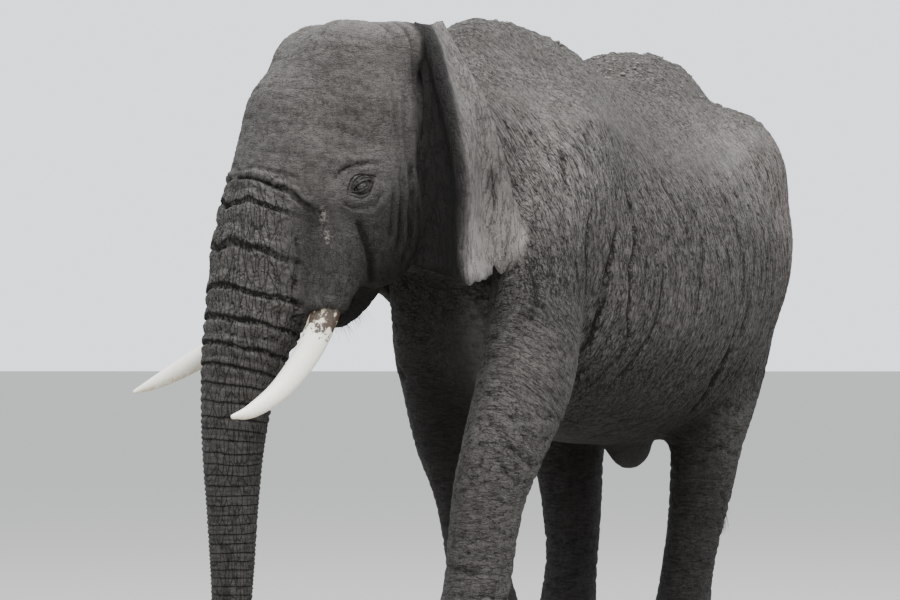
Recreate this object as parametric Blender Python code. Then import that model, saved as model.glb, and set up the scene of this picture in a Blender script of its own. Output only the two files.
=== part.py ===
"""African savanna elephant bull, life size, walking, divided into named body parts.

The flesh is modelled whole from rounded masses that are melted together, and is
then parted with thin cuts. Ears, tusks, eyes, toenails and the tail's tuft are
solids of their own. Metres, +Z up, the animal faces -Y and its left side is +X.
"""

import math

import bmesh
import bpy
import numpy as np
from mathutils import Matrix, Vector

# ---------------------------------------------------------------- sizes (m)
WITHERS = 3.18           # height of the back over the shoulders
BELLY = 1.12             # height of the lowest part of the belly
RUMP_Y = 1.62            # rearmost point of the rump
GAP = 0.0003             # cut between neighbouring body parts
EAR_GAP = 0.002          # clearance of an ear from the skin it lies against
CENTRE = (0.1358, 0.3890)  # moves the animal so that its box stands over the origin

# Head: its frame sits between the eyes, x to its left, y to its back, z up.
HEAD_TURN = math.radians(-29.0)
NECK_PIVOT = Vector((0.0, -1.20, 0.0))
HEAD_REACH = 0.76
EYE_HEIGHT = 2.30
EYE_RADIUS = 0.030
EYE_OUT = 0.352
EYE_BACK = 0.070
EYE_RISE = 0.012

# Legs: height of the joints and where each one stands, front to back.
ELBOW_Z, KNEE_Z = 1.50, 1.38
LEGS = {
    "fore_left": dict(side=1, top=-0.86, mid=-1.20, low=-1.42, foot=-1.50, spread=0.25),
    "fore_right": dict(side=-1, top=-0.70, mid=-0.59, low=-0.44, foot=-0.32, spread=0.25),
    "hind_left": dict(side=1, top=1.02, mid=0.96, low=0.98, foot=0.90, spread=0.25),
    "hind_right": dict(side=-1, top=0.98, mid=0.74, low=0.72, foot=0.58, spread=0.27),
}

EAR_ROLL = 0.026         # thickening of an ear along its ridge
EAR_BOWL = 0.055         # hollow of its front panel
TAIL_END_Z = 0.96        # end of the flesh of the tail, the tuft hangs below it
TUFT_END_Z = 0.60
TRUNK_CUTS = (-0.62, -1.00, -1.42)  # heights in the head's frame

MELT_COARSE, MELT_FINE = 0.034, 0.024
FLESH_FACES = 2180


# ---------------------------------------------------------------- helpers
def clear_scene():
    """Removes everything the file opened with."""
    for item in list(bpy.data.objects):
        bpy.data.objects.remove(item, do_unlink=True)


def new_object(name, mesh):
    """Links a mesh to the scene as an object."""
    item = bpy.data.objects.new(name, mesh)
    bpy.context.scene.collection.objects.link(item)
    return item


def mesh_object(name, points, faces):
    """Makes an object from points and faces, with its faces turned outward."""
    mesh = bpy.data.meshes.new(name)
    mesh.from_pydata([tuple(p) for p in points], [], faces)
    shell = bmesh.new()
    shell.from_mesh(mesh)
    bmesh.ops.recalc_face_normals(shell, faces=shell.faces)
    shell.to_mesh(mesh)
    shell.free()
    return new_object(name, mesh)


def curve_through(rows, steps):
    """Fills a smooth curve through rows of numbers (Catmull-Rom)."""
    rows = np.array(rows, float)
    ends = np.vstack([2 * rows[0] - rows[1], rows, 2 * rows[-1] - rows[-2]])
    filled = []
    for a, b, c, d in zip(ends, ends[1:], ends[2:], ends[3:]):
        for step in range(steps):
            t = step / steps
            filled.append(0.5 * (2 * b + (c - a) * t + (2 * a - 5 * b + 4 * c - d) * t**2
                                 + (3 * b - a - 3 * c + d) * t**3))
    filled.append(rows[-1])
    return np.array(filled)


def loft(name, rows, around=28, steps=4, domes=(True, True), bulge=0.8):
    """Skins rounded sections: each row is x, y, z, half width, half depth[, taper]."""
    rows = np.array([tuple(r) + (0.0,) * (6 - len(r)) for r in rows])
    path = curve_through(rows, steps)
    along = np.gradient(path[:, :3], axis=0)
    along /= np.linalg.norm(along, axis=1)[:, None]
    sections = []

    def section(centre, direction, width, depth, taper):
        across = np.array((1.0, 0.0, 0.0)) - direction * direction[0]
        across /= np.linalg.norm(across)
        depthwise = np.cross(across, direction)
        turn = np.linspace(0, 2 * math.pi, around, endpoint=False)
        wide = width * np.sin(turn) * (1 - taper * np.cos(turn))
        deep = depth * np.cos(turn)
        return centre + wide[:, None] * across + deep[:, None] * depthwise

    def dome(index, outward):
        row, direction = path[index], along[index]
        reach = bulge * min(row[3], row[4])
        rings = []
        for angle in (72, 52, 32, 14):
            share = math.sin(math.radians(angle))
            off = reach * math.cos(math.radians(angle)) * outward
            rings.append(section(row[:3] + direction * off, direction,
                                 row[3] * share, row[4] * share, row[5]))
        return rings

    if domes[0]:
        sections += dome(0, -1)[::-1]
    for row, direction in zip(path, along):
        sections.append(section(row[:3], direction, row[3], row[4], row[5]))
    if domes[1]:
        sections += dome(-1, 1)
    faces = []
    for ring in range(len(sections) - 1):
        for k in range(around):
            n = (k + 1) % around
            faces.append((ring * around + k, ring * around + n,
                          (ring + 1) * around + n, (ring + 1) * around + k))
    faces.append(tuple(range(around)))
    faces.append(tuple(range((len(sections) - 1) * around, len(sections) * around)))
    return mesh_object(name, np.vstack(sections), faces)


def blob(name, centre, radii, turn=(0.0, 0.0, 0.0), segments=28):
    """Makes an ellipsoid."""
    shell = bmesh.new()
    bmesh.ops.create_uvsphere(shell, u_segments=segments, v_segments=segments // 2, radius=1.0)
    mesh = bpy.data.meshes.new(name)
    shell.to_mesh(mesh)
    shell.free()
    spin = Matrix.Rotation(turn[2], 4, "Z") @ Matrix.Rotation(turn[1], 4, "Y")
    spin = spin @ Matrix.Rotation(turn[0], 4, "X")
    mesh.transform(Matrix.Translation(centre) @ spin @ Matrix.Diagonal((*radii, 1.0)))
    return new_object(name, mesh)


def box(name, low, high, frame=None, grow=0.0):
    """Makes a box between two corners, in a frame, larger by grow on every side."""
    shell = bmesh.new()
    bmesh.ops.create_cube(shell, size=1.0)
    mesh = bpy.data.meshes.new(name)
    shell.to_mesh(mesh)
    shell.free()
    low, high = Vector(low), Vector(high)
    size = (high - low) + Vector((2 * grow,) * 3)
    mesh.transform(Matrix.Translation((low + high) / 2) @ Matrix.Diagonal((*size, 1.0)))
    if frame is not None:
        mesh.transform(frame)
    return new_object(name, mesh)


def apply_modifier(item, kind, **settings):
    """Adds a modifier and keeps its result as the object's mesh."""
    modifier = item.modifiers.new(kind.title(), kind)
    for key, value in settings.items():
        setattr(modifier, key, value)
    graph = bpy.context.evaluated_depsgraph_get()
    mesh = bpy.data.meshes.new_from_object(item.evaluated_get(graph))
    item.modifiers.clear()
    item.data = mesh
    return item


def joined(name, items):
    """Puts several objects' shells into one object."""
    shell = bmesh.new()
    for item in items:
        shell.from_mesh(item.data)
        bpy.data.objects.remove(item, do_unlink=True)
    mesh = bpy.data.meshes.new(name)
    shell.to_mesh(mesh)
    shell.free()
    return new_object(name, mesh)


def melt(name, items, voxel, rounds, weight=None):
    """Unites overlapping shells and rounds the valleys between them.

    weight gives how strongly each point is rounded, from 0 to 1.
    """
    item = joined(name, items)
    apply_modifier(item, "REMESH", mode="VOXEL", voxel_size=voxel)
    if weight is None:
        return apply_modifier(item, "SMOOTH", factor=0.5, iterations=rounds)
    return relax(item, rounds, weight)


def relax(item, rounds, weight):
    """Smooths an object where the weight of a point is above 0."""
    group = item.vertex_groups.new(name="soft")
    for vert in item.data.vertices:
        group.add([vert.index], float(weight(vert.co)), "REPLACE")
    apply_modifier(item, "SMOOTH", factor=0.5, iterations=rounds, vertex_group="soft")
    item.vertex_groups.clear()
    return item


def ramp(value, low, high):
    """Rises smoothly from 0 at low to 1 at high."""
    t = min(max((value - low) / (high - low), 0.0), 1.0)
    return t * t * (3 - 2 * t)


def copied(item, name):
    """Copies an object with its mesh."""
    return new_object(name, item.data.copy())


def discard(*items):
    """Removes objects that have done their work."""
    for item in items:
        bpy.data.objects.remove(item, do_unlink=True)


def combine(item, other, operation, solver="EXACT"):
    """Runs a Boolean of one object with another."""
    return apply_modifier(item, "BOOLEAN", object=other, operation=operation, solver=solver)


def grown(item, amount):
    """Copies an object and moves its surface outward."""
    return apply_modifier(copied(item, "grown"), "DISPLACE", strength=amount, mid_level=0.0)


def set_in(host, guest):
    """Sinks a host a little deeper than the guest that stands in it."""
    cutter = grown(guest, GAP)
    combine(host, cutter, "DIFFERENCE")
    discard(cutter)
    return largest_shell(host)


def largest_shell(item):
    """Keeps the biggest connected shell of an object."""
    shell = bmesh.new()
    shell.from_mesh(item.data)
    left, groups = set(shell.verts), []
    while left:
        stack, group = [next(iter(left))], set()
        while stack:
            vert = stack.pop()
            if vert in left:
                left.remove(vert)
                group.add(vert)
                stack += [edge.other_vert(vert) for edge in vert.link_edges]
        groups.append(group)
    keep = max(groups, key=len)
    bmesh.ops.delete(shell, geom=[v for v in shell.verts if v not in keep], context="VERTS")
    shell.to_mesh(item.data)
    shell.free()
    return item


def part_off(item, name, low, high, frame=None):
    """Parts what lies in a box from an object and leaves a thin cut between them."""
    inner = box("inner", low, high, frame, -GAP / 2)
    outer = box("outer", low, high, frame, GAP / 2)
    piece = combine(copied(item, name), inner, "INTERSECT")
    combine(item, outer, "DIFFERENCE")
    discard(inner, outer)
    return largest_shell(piece)


# ---------------------------------------------------------------- body
def torso_masses():
    """Chest, ribs, belly, hips and spine."""
    # y, top, bottom, half width, taper to the top
    stations = (
        (-1.14, 2.50, 1.90, 0.22, 0.00), (-1.04, 2.82, 1.62, 0.34, 0.05),
        (-0.86, 3.07, 1.40, 0.46, 0.10), (-0.58, WITHERS, 1.26, 0.60, 0.14),
        (-0.15, 3.04, 1.17, 0.72, 0.16), (0.25, 3.01, BELLY, 0.79, 0.13),
        (0.65, 3.08, BELLY - 0.01, 0.81, 0.08), (0.95, 3.06, 1.18, 0.79, 0.03),
        (1.22, 2.96, 1.34, 0.76, 0.00), (1.42, 2.78, 1.50, 0.68, 0.00),
        (RUMP_Y - 0.08, 2.56, 1.68, 0.52, 0.00))
    masses = [loft("torso", [(0, y, (top + low) / 2, wide, (top - low) / 2, taper)
                             for y, top, low, wide, taper in stations], around=48, bulge=0.3)]
    masses.append(blob("withers", (0, -0.74, 3.00), (0.22, 0.56, 0.19)))
    masses.append(blob("sacrum", (0, 0.77, 2.93), (0.40, 0.50, 0.25)))
    masses.append(blob("sheath", (0, 0.80, 1.105), (0.08, 0.24, 0.14)))
    for side in (1, -1):
        masses.append(blob("hip", (side * 0.45, 1.02, 2.49), (0.32, 0.48, 0.40)))
        masses.append(blob("shoulder", (side * 0.42, -0.72, 2.35), (0.19, 0.40, 0.50)))
    return masses


def leg_masses(name, side, top, mid, low, foot, spread):
    """One leg as a column from the body to below the ground, which trims it flat."""
    if name.startswith("fore"):
        rows = (
            (side * 0.34, top, 2.55, 0.13, 0.27), (side * 0.38, top + 0.25 * (mid - top), 2.20, 0.17, 0.33),
            (side * 0.39, top + 0.60 * (mid - top), 1.85, 0.190, 0.33),
            (side * 0.38, mid + 0.05, ELBOW_Z, 0.200, 0.31),
            (side * 0.35, mid + 0.45 * (low - mid), 1.20, 0.190, 0.235),
            (side * 0.295, mid + 0.85 * (low - mid), 0.90, 0.167, 0.182),
            (side * (spread + 0.02), low + 0.30 * (foot - low), 0.52, 0.156, 0.162),
            (side * spread, low + 0.90 * (foot - low), 0.27, 0.172, 0.182),
            (side * spread, foot - 0.010, 0.10, 0.202, 0.218), (side * spread, foot - 0.012, -0.08, 0.205, 0.222))
    else:
        rows = (
            (side * 0.34, top - 0.03, 2.45, 0.20, 0.36), (side * 0.41, top + 0.04, 2.05, 0.27, 0.48),
            (side * 0.41, top + 0.45 * (mid - top) + 0.04, 1.72, 0.26, 0.45),
            (side * 0.38, mid + 0.06, KNEE_Z, 0.225, 0.35),
            (side * 0.35, mid + 0.30 * (low - mid) + 0.04, 1.12, 0.185, 0.255),
            (side * 0.315, mid + 0.75 * (low - mid) + 0.02, 0.82, 0.162, 0.190),
            (side * (spread + 0.02), low + 0.15 * (foot - low), 0.52, 0.142, 0.155),
            (side * spread, foot + 0.03, 0.27, 0.152, 0.165),
            (side * spread, foot, 0.10, 0.180, 0.198), (side * spread, foot - 0.01, -0.08, 0.183, 0.202))
    return loft(name, rows, around=24, domes=(True, False))


def tail_masses():
    """Root and whip of the tail."""
    return loft("tail", ((0, 1.40, 2.66, 0.11, 0.12), (0, RUMP_Y - 0.06, 2.48, 0.085, 0.080),
                         (0.01, RUMP_Y + 0.06, 2.16, 0.056, 0.054), (0.04, RUMP_Y + 0.10, 1.72, 0.043, 0.043),
                         (0.08, RUMP_Y + 0.11, 1.30, 0.037, 0.037),
                         (0.12, RUMP_Y + 0.12, TAIL_END_Z - 0.05, 0.034, 0.032)), around=16)


# ---------------------------------------------------------------- head
def head_frame():
    """Matrix from the head's frame to the body's."""
    ahead = Vector((math.sin(HEAD_TURN), -math.cos(HEAD_TURN), 0.0))
    seat = NECK_PIVOT + ahead * HEAD_REACH
    seat.z = EYE_HEIGHT
    return Matrix.Translation(seat) @ Matrix.Rotation(HEAD_TURN, 4, "Z")


def neck_masses(frame):
    """Thick short neck from the shoulders to the back of the skull."""
    nape = frame @ Vector((0.0, 0.42, 0.14))
    return [loft("neck", ((0, -0.62, 2.42, 0.48, 0.58, 0.1), (0, -1.0, 2.46, 0.43, 0.54, 0.1),
                          (nape.x, nape.y, nape.z, 0.38, 0.50, 0.05)), around=36)]


def skull_masses():
    """Skull, cheeks and the bulges that hold the tusks, in the head's frame."""
    masses = [blob("cranium", (0, 0.20, 0.34), (0.375, 0.42, 0.42)),
              blob("forehead", (0, -0.02, 0.30), (0.30, 0.28, 0.30)),
              blob("brow", (0, -0.05, 0.12), (0.335, 0.28, 0.34)),
              loft("jaw", ((0, 0.40, -0.12, 0.23, 0.20), (0, 0.32, -0.26, 0.215, 0.135),
                           (0, 0.24, -0.385, 0.185, 0.125), (0, 0.15, -0.48, 0.145, 0.130),
                           (0, 0.03, -0.565, 0.090, 0.070), (0, -0.05, -0.605, 0.050, 0.040)), around=24)]
    for side in (1, -1):
        masses.append(blob("dome", (side * 0.12, 0.15, 0.56), (0.20, 0.27, 0.235)))
        masses.append(blob("ear_base", (side * 0.22, 0.36, 0.64), (0.15, 0.20, 0.15)))
        masses.append(blob("cheek", (side * 0.25, 0.21, -0.06), (0.160, 0.27, 0.38)))
        masses.append(blob("zygoma", (side * 0.27, 0.06, -0.06), (0.10, 0.20, 0.12)))
        masses.append(loft("socket", (
            (side * 0.240, 0.025, -0.100, 0.130, 0.150), (side * 0.265, -0.015, -0.300, 0.140, 0.155),
            (side * 0.288, -0.060, -0.440, 0.125, 0.130), (side * 0.298, -0.085, -0.510, 0.095, 0.098)), around=20))
    return masses


def trunk_masses():
    """The trunk from the face down to its tip, in the head's frame."""
    return loft("trunk", (
        (0, 0.00, 0.10, 0.31, 0.34), (0, -0.10, -0.10, 0.295, 0.31), (0, -0.19, -0.32, 0.26, 0.28),
        (0, -0.27, -0.55, 0.22, 0.225), (0, -0.34, -0.80, 0.180, 0.178), (0, -0.375, -1.10, 0.146, 0.145),
        (0, -0.38, -1.40, 0.120, 0.120), (0, -0.38, -1.70, 0.100, 0.102), (0, -0.39, -1.92, 0.088, 0.090),
        (0, -0.425, -2.08, 0.076, 0.078), (0, -0.475, -2.165, 0.068, 0.068)), around=28)


def tusk(name, side, lift):
    """One tusk: down and forward from its socket, levelling out to the tip, which lift raises."""
    rows = ((0.300, -0.045, -0.440, 0.062), (0.310, -0.095, -0.570, 0.063),
            (0.320, -0.185 - 0.60 * lift, -0.730 + 0.70 * lift, 0.058),
            (0.340, -0.330 - 0.94 * lift, -0.885 + 1.36 * lift, 0.047),
            (0.370 + 0.35 * lift, -0.485 - 0.76 * lift, -0.975 + 1.43 * lift, 0.031),
            (0.382 + 0.75 * lift, -0.585 - 0.65 * lift, -1.000 + 1.19 * lift, 0.010))
    return loft(name, [(side * x, y, z, r, r) for x, y, z, r in rows], around=10, steps=2, domes=(False, True))


def ear_spot(side, u, v, fold, trail, front, back):
    """A point of an ear's middle surface in the head's frame.

    u runs from the root to the margin and v from the top down. The ear leaves
    the head along fold, bends over a ridge and trails back along trail.
    """
    root = np.array((side * (0.265 + 0.10 * math.sin(math.pi * min(1.1 * v, 1.0))),
                     0.40 - 0.06 * v, 0.78 - 1.10 * v))
    bend = 0.05 + 0.04 * math.sin(math.pi * v)
    reach = u * (front + back)
    spot, count = np.zeros(3), 16
    for k in range(count):
        t = ramp(reach * (k + 0.5) / count, front - bend, front + bend)
        spot += (np.array(fold) * (1 - t) + np.array(trail) * t) * reach / count
    flare = 0.10 * v * ramp(u, 0.72, 1.0) - 0.035 * v * math.sin(math.pi * ramp(u, 0.5, 0.95))
    ripple = 0.010 * math.sin(11 * v + 4 * u) * u
    bowl = EAR_BOWL * min(2 * v, 1.0) * math.sin(math.pi * min(reach / front, 1.0))
    return root + spot + np.array(fold) * (flare + ripple) + side * bowl * np.array((-fold[1], fold[0], 0.0))


def ear(name, side, frame, fold, trail, front, back):
    """A closed ear: front and back give the length of its two panels down the ear."""
    down, across = 11, 12
    grid, thick = np.zeros((down, across, 3)), np.zeros((down, across, 1))
    for i in range(down):
        v = i / (down - 1)
        for j in range(across):
            u = j / (across - 1)
            grid[i, j] = ear_spot(side, u, v, fold, trail, front(v), back(v))
            past_ridge = u * (front(v) + back(v)) - front(v)
            thick[i, j] = 0.018 - 0.010 * u + EAR_ROLL * (1 - 0.7 * v) * math.exp(-((past_ridge / 0.06) ** 2))
    normal = np.cross(np.gradient(grid, axis=1), np.gradient(grid, axis=0))
    normal /= np.linalg.norm(normal, axis=2)[..., None]
    points = np.vstack([(grid + normal * thick).reshape(-1, 3), (grid - normal * thick).reshape(-1, 3)])
    count, faces = down * across, []
    for i in range(down - 1):
        for j in range(across - 1):
            a, b = i * across + j, (i + 1) * across + j
            faces.append((a, b, b + 1, a + 1))
            faces.append((count + a, count + a + 1, count + b + 1, count + b))
    rim = [(i, 0) for i in range(down)] + [(down - 1, j) for j in range(1, across)]
    rim += [(i, across - 1) for i in range(down - 2, -1, -1)] + [(0, j) for j in range(across - 2, 0, -1)]
    for one, two in zip(rim, rim[1:] + rim[:1]):
        a, b = one[0] * across + one[1], two[0] * across + two[1]
        faces.append((a, b, count + b, count + a))
    item = mesh_object(name, points, faces)
    item.data.transform(frame)
    return item


def build_flesh(frame):
    """Melts all masses of flesh into one body that stands flat on the ground."""
    body = torso_masses() + neck_masses(frame)
    body += [leg_masses(name, **leg) for name, leg in LEGS.items()]
    body = melt("body", body, MELT_COARSE, 45, lambda p: 0.10 + 0.90 * ramp(p.z, 1.15, 1.9))
    head = skull_masses() + [trunk_masses()]
    for mass in head:
        mass.data.transform(frame)
    head = melt("head", head, MELT_FINE, 34, lambda p: 0.15 + 0.85 * ramp(p.z, 1.9, 2.3))
    flesh = melt("flesh", [body, head, tail_masses()], MELT_FINE, 10)
    apply_modifier(flesh, "DECIMATE", ratio=FLESH_FACES / (2 * len(flesh.data.polygons)))
    ground = box("ground", (-2, -4, -1), (2, 4, 0))
    combine(flesh, ground, "DIFFERENCE")
    discard(ground)
    return largest_shell(flesh)


def part_head(flesh, frame):
    """Parts the trunk's lengths, the lower jaw, the head and the neck."""
    first, second, third = TRUNK_CUTS
    parts = [part_off(flesh, "trunk_tip", (-0.25, -0.8, -2.4), (0.25, -0.1, third), frame),
             part_off(flesh, "trunk_lower", (-0.25, -0.8, third), (0.25, -0.1, second), frame),
             part_off(flesh, "trunk_middle", (-0.3, -0.9, second), (0.3, -0.1, first), frame),
             part_off(flesh, "trunk_root", (-0.215, -0.9, first), (0.215, -0.12, -0.06), frame)]
    mouth = frame @ Matrix.Translation((0, 0.20, -0.47)) @ Matrix.Rotation(math.radians(16), 4, "X")
    parts.append(part_off(flesh, "lower_jaw", (-0.19, -0.34, -0.35), (0.19, 0.12, 0.0), mouth))
    parts.append(part_off(flesh, "head", (-0.7, -1.0, -0.75), (0.7, 0.45, 1.0), frame))
    nape = Matrix.Translation((0, -1.13, 1.96)) @ Matrix.Rotation(math.radians(-10), 4, "X")
    parts.append(part_off(flesh, "neck", (-0.7, -1.0, 0.0), (0.7, 0.0, 1.6), nape))
    return parts


def part_legs(flesh):
    """Parts every leg into an upper leg, a lower leg and a foot."""
    parts = []
    for name, leg in LEGS.items():
        side, knee = leg["side"], 1.75 if name != "fore_right" else 1.55
        for label, low, high, centre, reach in (
                ("foot", -0.1, 0.30, leg["foot"], 0.34), ("lower", 0.30, 0.98, leg["low"], 0.36),
                ("upper", 0.98, knee, 0.6 * leg["mid"] + 0.4 * leg["low"], 0.42)):
            xs = sorted((side * (0.02 if label != "upper" else 0.14), side * 0.85))
            parts.append(part_off(flesh, f"{name}_{label}",
                                  (xs[0], centre - reach, low), (xs[1], centre + reach, high)))
    return parts


def part_trunk_of_body(flesh):
    """Parts the tail from the torso and the torso into chest, belly and rump."""
    tail = part_off(flesh, "tail", (-0.14, RUMP_Y + 0.02, TAIL_END_Z), (0.30, 2.1, 1.98))
    rest = part_off(flesh, "stub", (-0.14, RUMP_Y - 0.1, 0.6), (0.30, 2.1, TAIL_END_Z))
    discard(rest)
    chest = part_off(flesh, "chest", (-1.2, -2.0, 0.8), (1.2, -0.35, 3.5))
    rump = part_off(flesh, "rump", (-1.2, 0.62, 0.8), (1.2, 2.0, 3.5))
    flesh.name = "belly"
    return [tail, chest, rump, largest_shell(flesh)]


def nails(name, foot, leg, angles):
    """Toenails set into the front of a foot."""
    made = []
    for number, angle in enumerate(angles, 1):
        turn = math.radians(angle)
        ahead = Vector((math.sin(turn), -math.cos(turn), 0.0))
        start = Vector((leg["side"] * leg["spread"], leg["foot"], 0.078)) + ahead * 0.6
        hit, spot, _, _ = foot.ray_cast(start, -ahead)
        nail = blob(f"{name}_nail_{number}", spot - ahead * 0.004, (0.046, 0.021, 0.042), (0, 0, turn), 8)
        set_in(foot, nail)
        made.append(nail)
    return made


def tuft():
    """Flat bundle of wire hair at the end of the tail."""
    x, y = 0.118, RUMP_Y + 0.12
    return loft("tail_tuft", (
        (x, y, TAIL_END_Z - GAP, 0.026, 0.026), (x, y, 0.88, 0.034, 0.046),
        (x + 0.004, y - 0.004, 0.76, 0.030, 0.056), (x + 0.008, y - 0.008, 0.66, 0.018, 0.036),
        (x + 0.010, y - 0.010, TUFT_END_Z, 0.006, 0.010)), around=8, steps=1, domes=(False, True))


def paint(item, colour, roughness):
    """Gives an object its own material."""
    material = bpy.data.materials.new(item.name)
    material.use_nodes = True
    shader = material.node_tree.nodes["Principled BSDF"]
    shader.inputs["Base Color"].default_value = (*colour, 1.0)
    shader.inputs["Roughness"].default_value = roughness
    item.data.materials.clear()
    item.data.materials.append(material)


def main():
    """Builds the flesh, parts it and adds the pieces that stand on it."""
    clear_scene()
    frame = head_frame()
    flesh = build_flesh(frame)
    whole = grown(flesh, EAR_GAP)
    ears = [ear("ear_left", 1, frame, (0.91, 0.40, -0.32), (-0.50, 0.85, 0.14),
                lambda v: 0.05 + 0.30 * v, lambda v: 0.21 + 0.32 * v),
            ear("ear_right", -1, frame, (-0.88, 0.47, -0.22), (-0.40, 0.88, -0.26),
                lambda v: 0.06 + 0.34 * v, lambda v: 0.22 + 0.36 * math.sin(0.60 * math.pi * v))]
    for item in ears:
        combine(item, whole, "DIFFERENCE", "MANIFOLD")
        largest_shell(item)
    discard(whole)
    skin = part_head(flesh, frame) + part_legs(flesh) + part_trunk_of_body(flesh)
    by_name = {item.name: item for item in skin}
    tusks = [tusk("tusk_left", 1, 0.0), tusk("tusk_right", -1, 0.085)]
    eyes = [blob(name, (side * EYE_OUT, EYE_BACK, EYE_RISE), (EYE_RADIUS,) * 3, segments=10)
            for name, side in (("eye_left", 1), ("eye_right", -1))]
    for item in tusks + eyes:
        item.data.transform(frame)
        set_in(by_name["head"], item)
    for item in tusks:
        set_in(by_name["trunk_root"], item)
        set_in(by_name["trunk_middle"], item)
    horn = []
    for name, leg in LEGS.items():
        angles = (-66, -24, 18, 58) if name.startswith("fore") else (-42, 0, 42)
        horn += nails(name, by_name[f"{name}_foot"], leg, [leg["side"] * angle for angle in angles])
    hair = [tuft()]
    for items, colour, roughness in (
            (skin + ears, (0.115, 0.105, 0.100), 0.75), (tusks, (0.70, 0.62, 0.48), 0.35),
            (eyes, (0.035, 0.020, 0.012), 0.10), (horn, (0.20, 0.17, 0.13), 0.55),
            (hair, (0.02, 0.018, 0.016), 0.60)):
        for item in items:
            item.data.transform(Matrix.Translation((*CENTRE, 0.0)))
            paint(item, colour, roughness)


main()
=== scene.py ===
"""Dressed African savanna elephant bull: skin with its folds, ivory, eyes, nails and hair.

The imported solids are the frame. The skin is melted from the same masses as they are,
covered in wrinkles, and stands in for every piece of flesh. Metres, +Z up, the animal
faces -Y. Shapes are laid out about the animal's own middle and moved by CENTRE at the end.
"""

import sys
import functools
import itertools
import logging
import math
from contextlib import contextmanager
from dataclasses import dataclass, field
from enum import Enum
from typing import Callable, Iterator, NamedTuple, Sequence

import bmesh
import bpy
import numpy as np
from mathutils import Matrix, Vector
from mathutils.bvhtree import BVHTree


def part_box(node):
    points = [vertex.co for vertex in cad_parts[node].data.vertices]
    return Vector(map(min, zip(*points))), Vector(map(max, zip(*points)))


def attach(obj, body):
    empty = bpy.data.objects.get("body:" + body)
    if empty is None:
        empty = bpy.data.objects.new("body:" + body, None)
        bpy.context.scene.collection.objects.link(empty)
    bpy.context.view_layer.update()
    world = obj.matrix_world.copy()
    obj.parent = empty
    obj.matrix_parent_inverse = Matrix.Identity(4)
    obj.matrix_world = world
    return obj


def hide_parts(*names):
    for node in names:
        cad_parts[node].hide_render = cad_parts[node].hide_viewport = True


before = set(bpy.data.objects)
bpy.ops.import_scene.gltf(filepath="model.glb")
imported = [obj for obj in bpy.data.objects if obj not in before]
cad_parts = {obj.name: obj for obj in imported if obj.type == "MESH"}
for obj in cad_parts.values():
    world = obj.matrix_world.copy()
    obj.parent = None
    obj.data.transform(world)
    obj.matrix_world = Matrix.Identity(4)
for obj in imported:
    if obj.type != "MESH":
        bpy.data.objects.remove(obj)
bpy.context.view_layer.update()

CENTRE = Vector((0.1358, 0.389, 0.0))
LOG = logging.getLogger("elephant")

Points = np.ndarray
Spot = tuple[float, float, float]
Colour = tuple[float, float, float, float]
Item = bpy.types.Object
Mesh = bpy.types.Mesh
Material = bpy.types.Material
Nodes = bpy.types.NodeTree
Node = bpy.types.Node
Socket = bpy.types.NodeSocket


class Side(Enum):
    """Which side of the animal a piece is on; the value is the sign of x."""

    LEFT = 1
    RIGHT = -1


# ---- mesh helpers
def select_only(item: Item) -> None:
    """Selects one object and makes it active.

    Args:
        item: the object to select.
    """
    bpy.ops.object.select_all(action="DESELECT")
    item.hide_set(False)
    item.select_set(True)
    bpy.context.view_layer.objects.active = item


def apply_modifier(item: Item, kind: str, **settings: object) -> Item:
    """Adds a modifier to an object and applies it.

    Args:
        item: the object.
        kind: the modifier's type.
        settings: its settings by name.

    Returns:
        The same object.
    """
    select_only(item)
    modifier = item.modifiers.new(kind.title(), kind)
    for key, value in settings.items():
        setattr(modifier, key, value)
    bpy.ops.object.modifier_apply(modifier=modifier.name)
    return item


def primitive(name: str, add: Callable, **settings: object) -> Item:
    """Adds a primitive.

    Args:
        name: its name.
        add: the operator that makes it.
        settings: the operator's settings by name.

    Returns:
        The new object.
    """
    bpy.ops.object.select_all(action="DESELECT")
    add(**settings)
    bpy.context.object.name = name
    return bpy.context.object


@contextmanager
def editing(mesh: Mesh) -> Iterator[bmesh.types.BMesh]:
    """Opens a mesh for editing and writes it back afterwards.

    Args:
        mesh: the mesh.

    Yields:
        Its editable form.
    """
    shell = bmesh.new()
    shell.from_mesh(mesh)
    yield shell
    shell.to_mesh(mesh)
    shell.free()


def turn_outward(mesh: Mesh) -> None:
    """Turns the faces of a mesh outward."""
    with editing(mesh) as shell:
        bmesh.ops.recalc_face_normals(shell, faces=shell.faces)


def mesh_object(name: str, points: Points, faces: Sequence[Sequence[int]]) -> Item:
    """Makes an object from points and faces, with its faces turned outward.

    Args:
        name: the object's name.
        points: the vertices.
        faces: vertex numbers of each face.

    Returns:
        The new object.
    """
    mesh = bpy.data.meshes.new(name)
    mesh.from_pydata([tuple(p) for p in points], [], [tuple(f) for f in faces])
    turn_outward(mesh)
    item = bpy.data.objects.new(name, mesh)
    bpy.context.scene.collection.objects.link(item)
    return item


def joined(name: str, items: Sequence[Item]) -> Item:
    """Joins several objects into one.

    Args:
        name: name of the result.
        items: the objects.

    Returns:
        The joined object.
    """
    select_only(items[0])
    for item in items[1:]:
        item.select_set(True)
    if len(items) > 1:
        bpy.ops.object.join()
    items[0].name = name
    return items[0]


def rows_of(items: bpy.types.bpy_prop_collection, key: str) -> Points:
    """Reads a vector of each item of a mesh.

    Args:
        items: its vertices or their normals.
        key: name of the vector.

    Returns:
        One row of x, y and z for each item.
    """
    flat = np.empty(len(items) * 3, np.float32)
    items.foreach_get(key, flat)
    return flat.reshape(-1, 3).astype(float)


def get_points(mesh: Mesh) -> Points:
    """Places of a mesh's vertices."""
    return rows_of(mesh.vertices, "co")


def get_normals(mesh: Mesh) -> Points:
    """Outward directions at a mesh's vertices."""
    return rows_of(mesh.vertex_normals, "vector")


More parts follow.
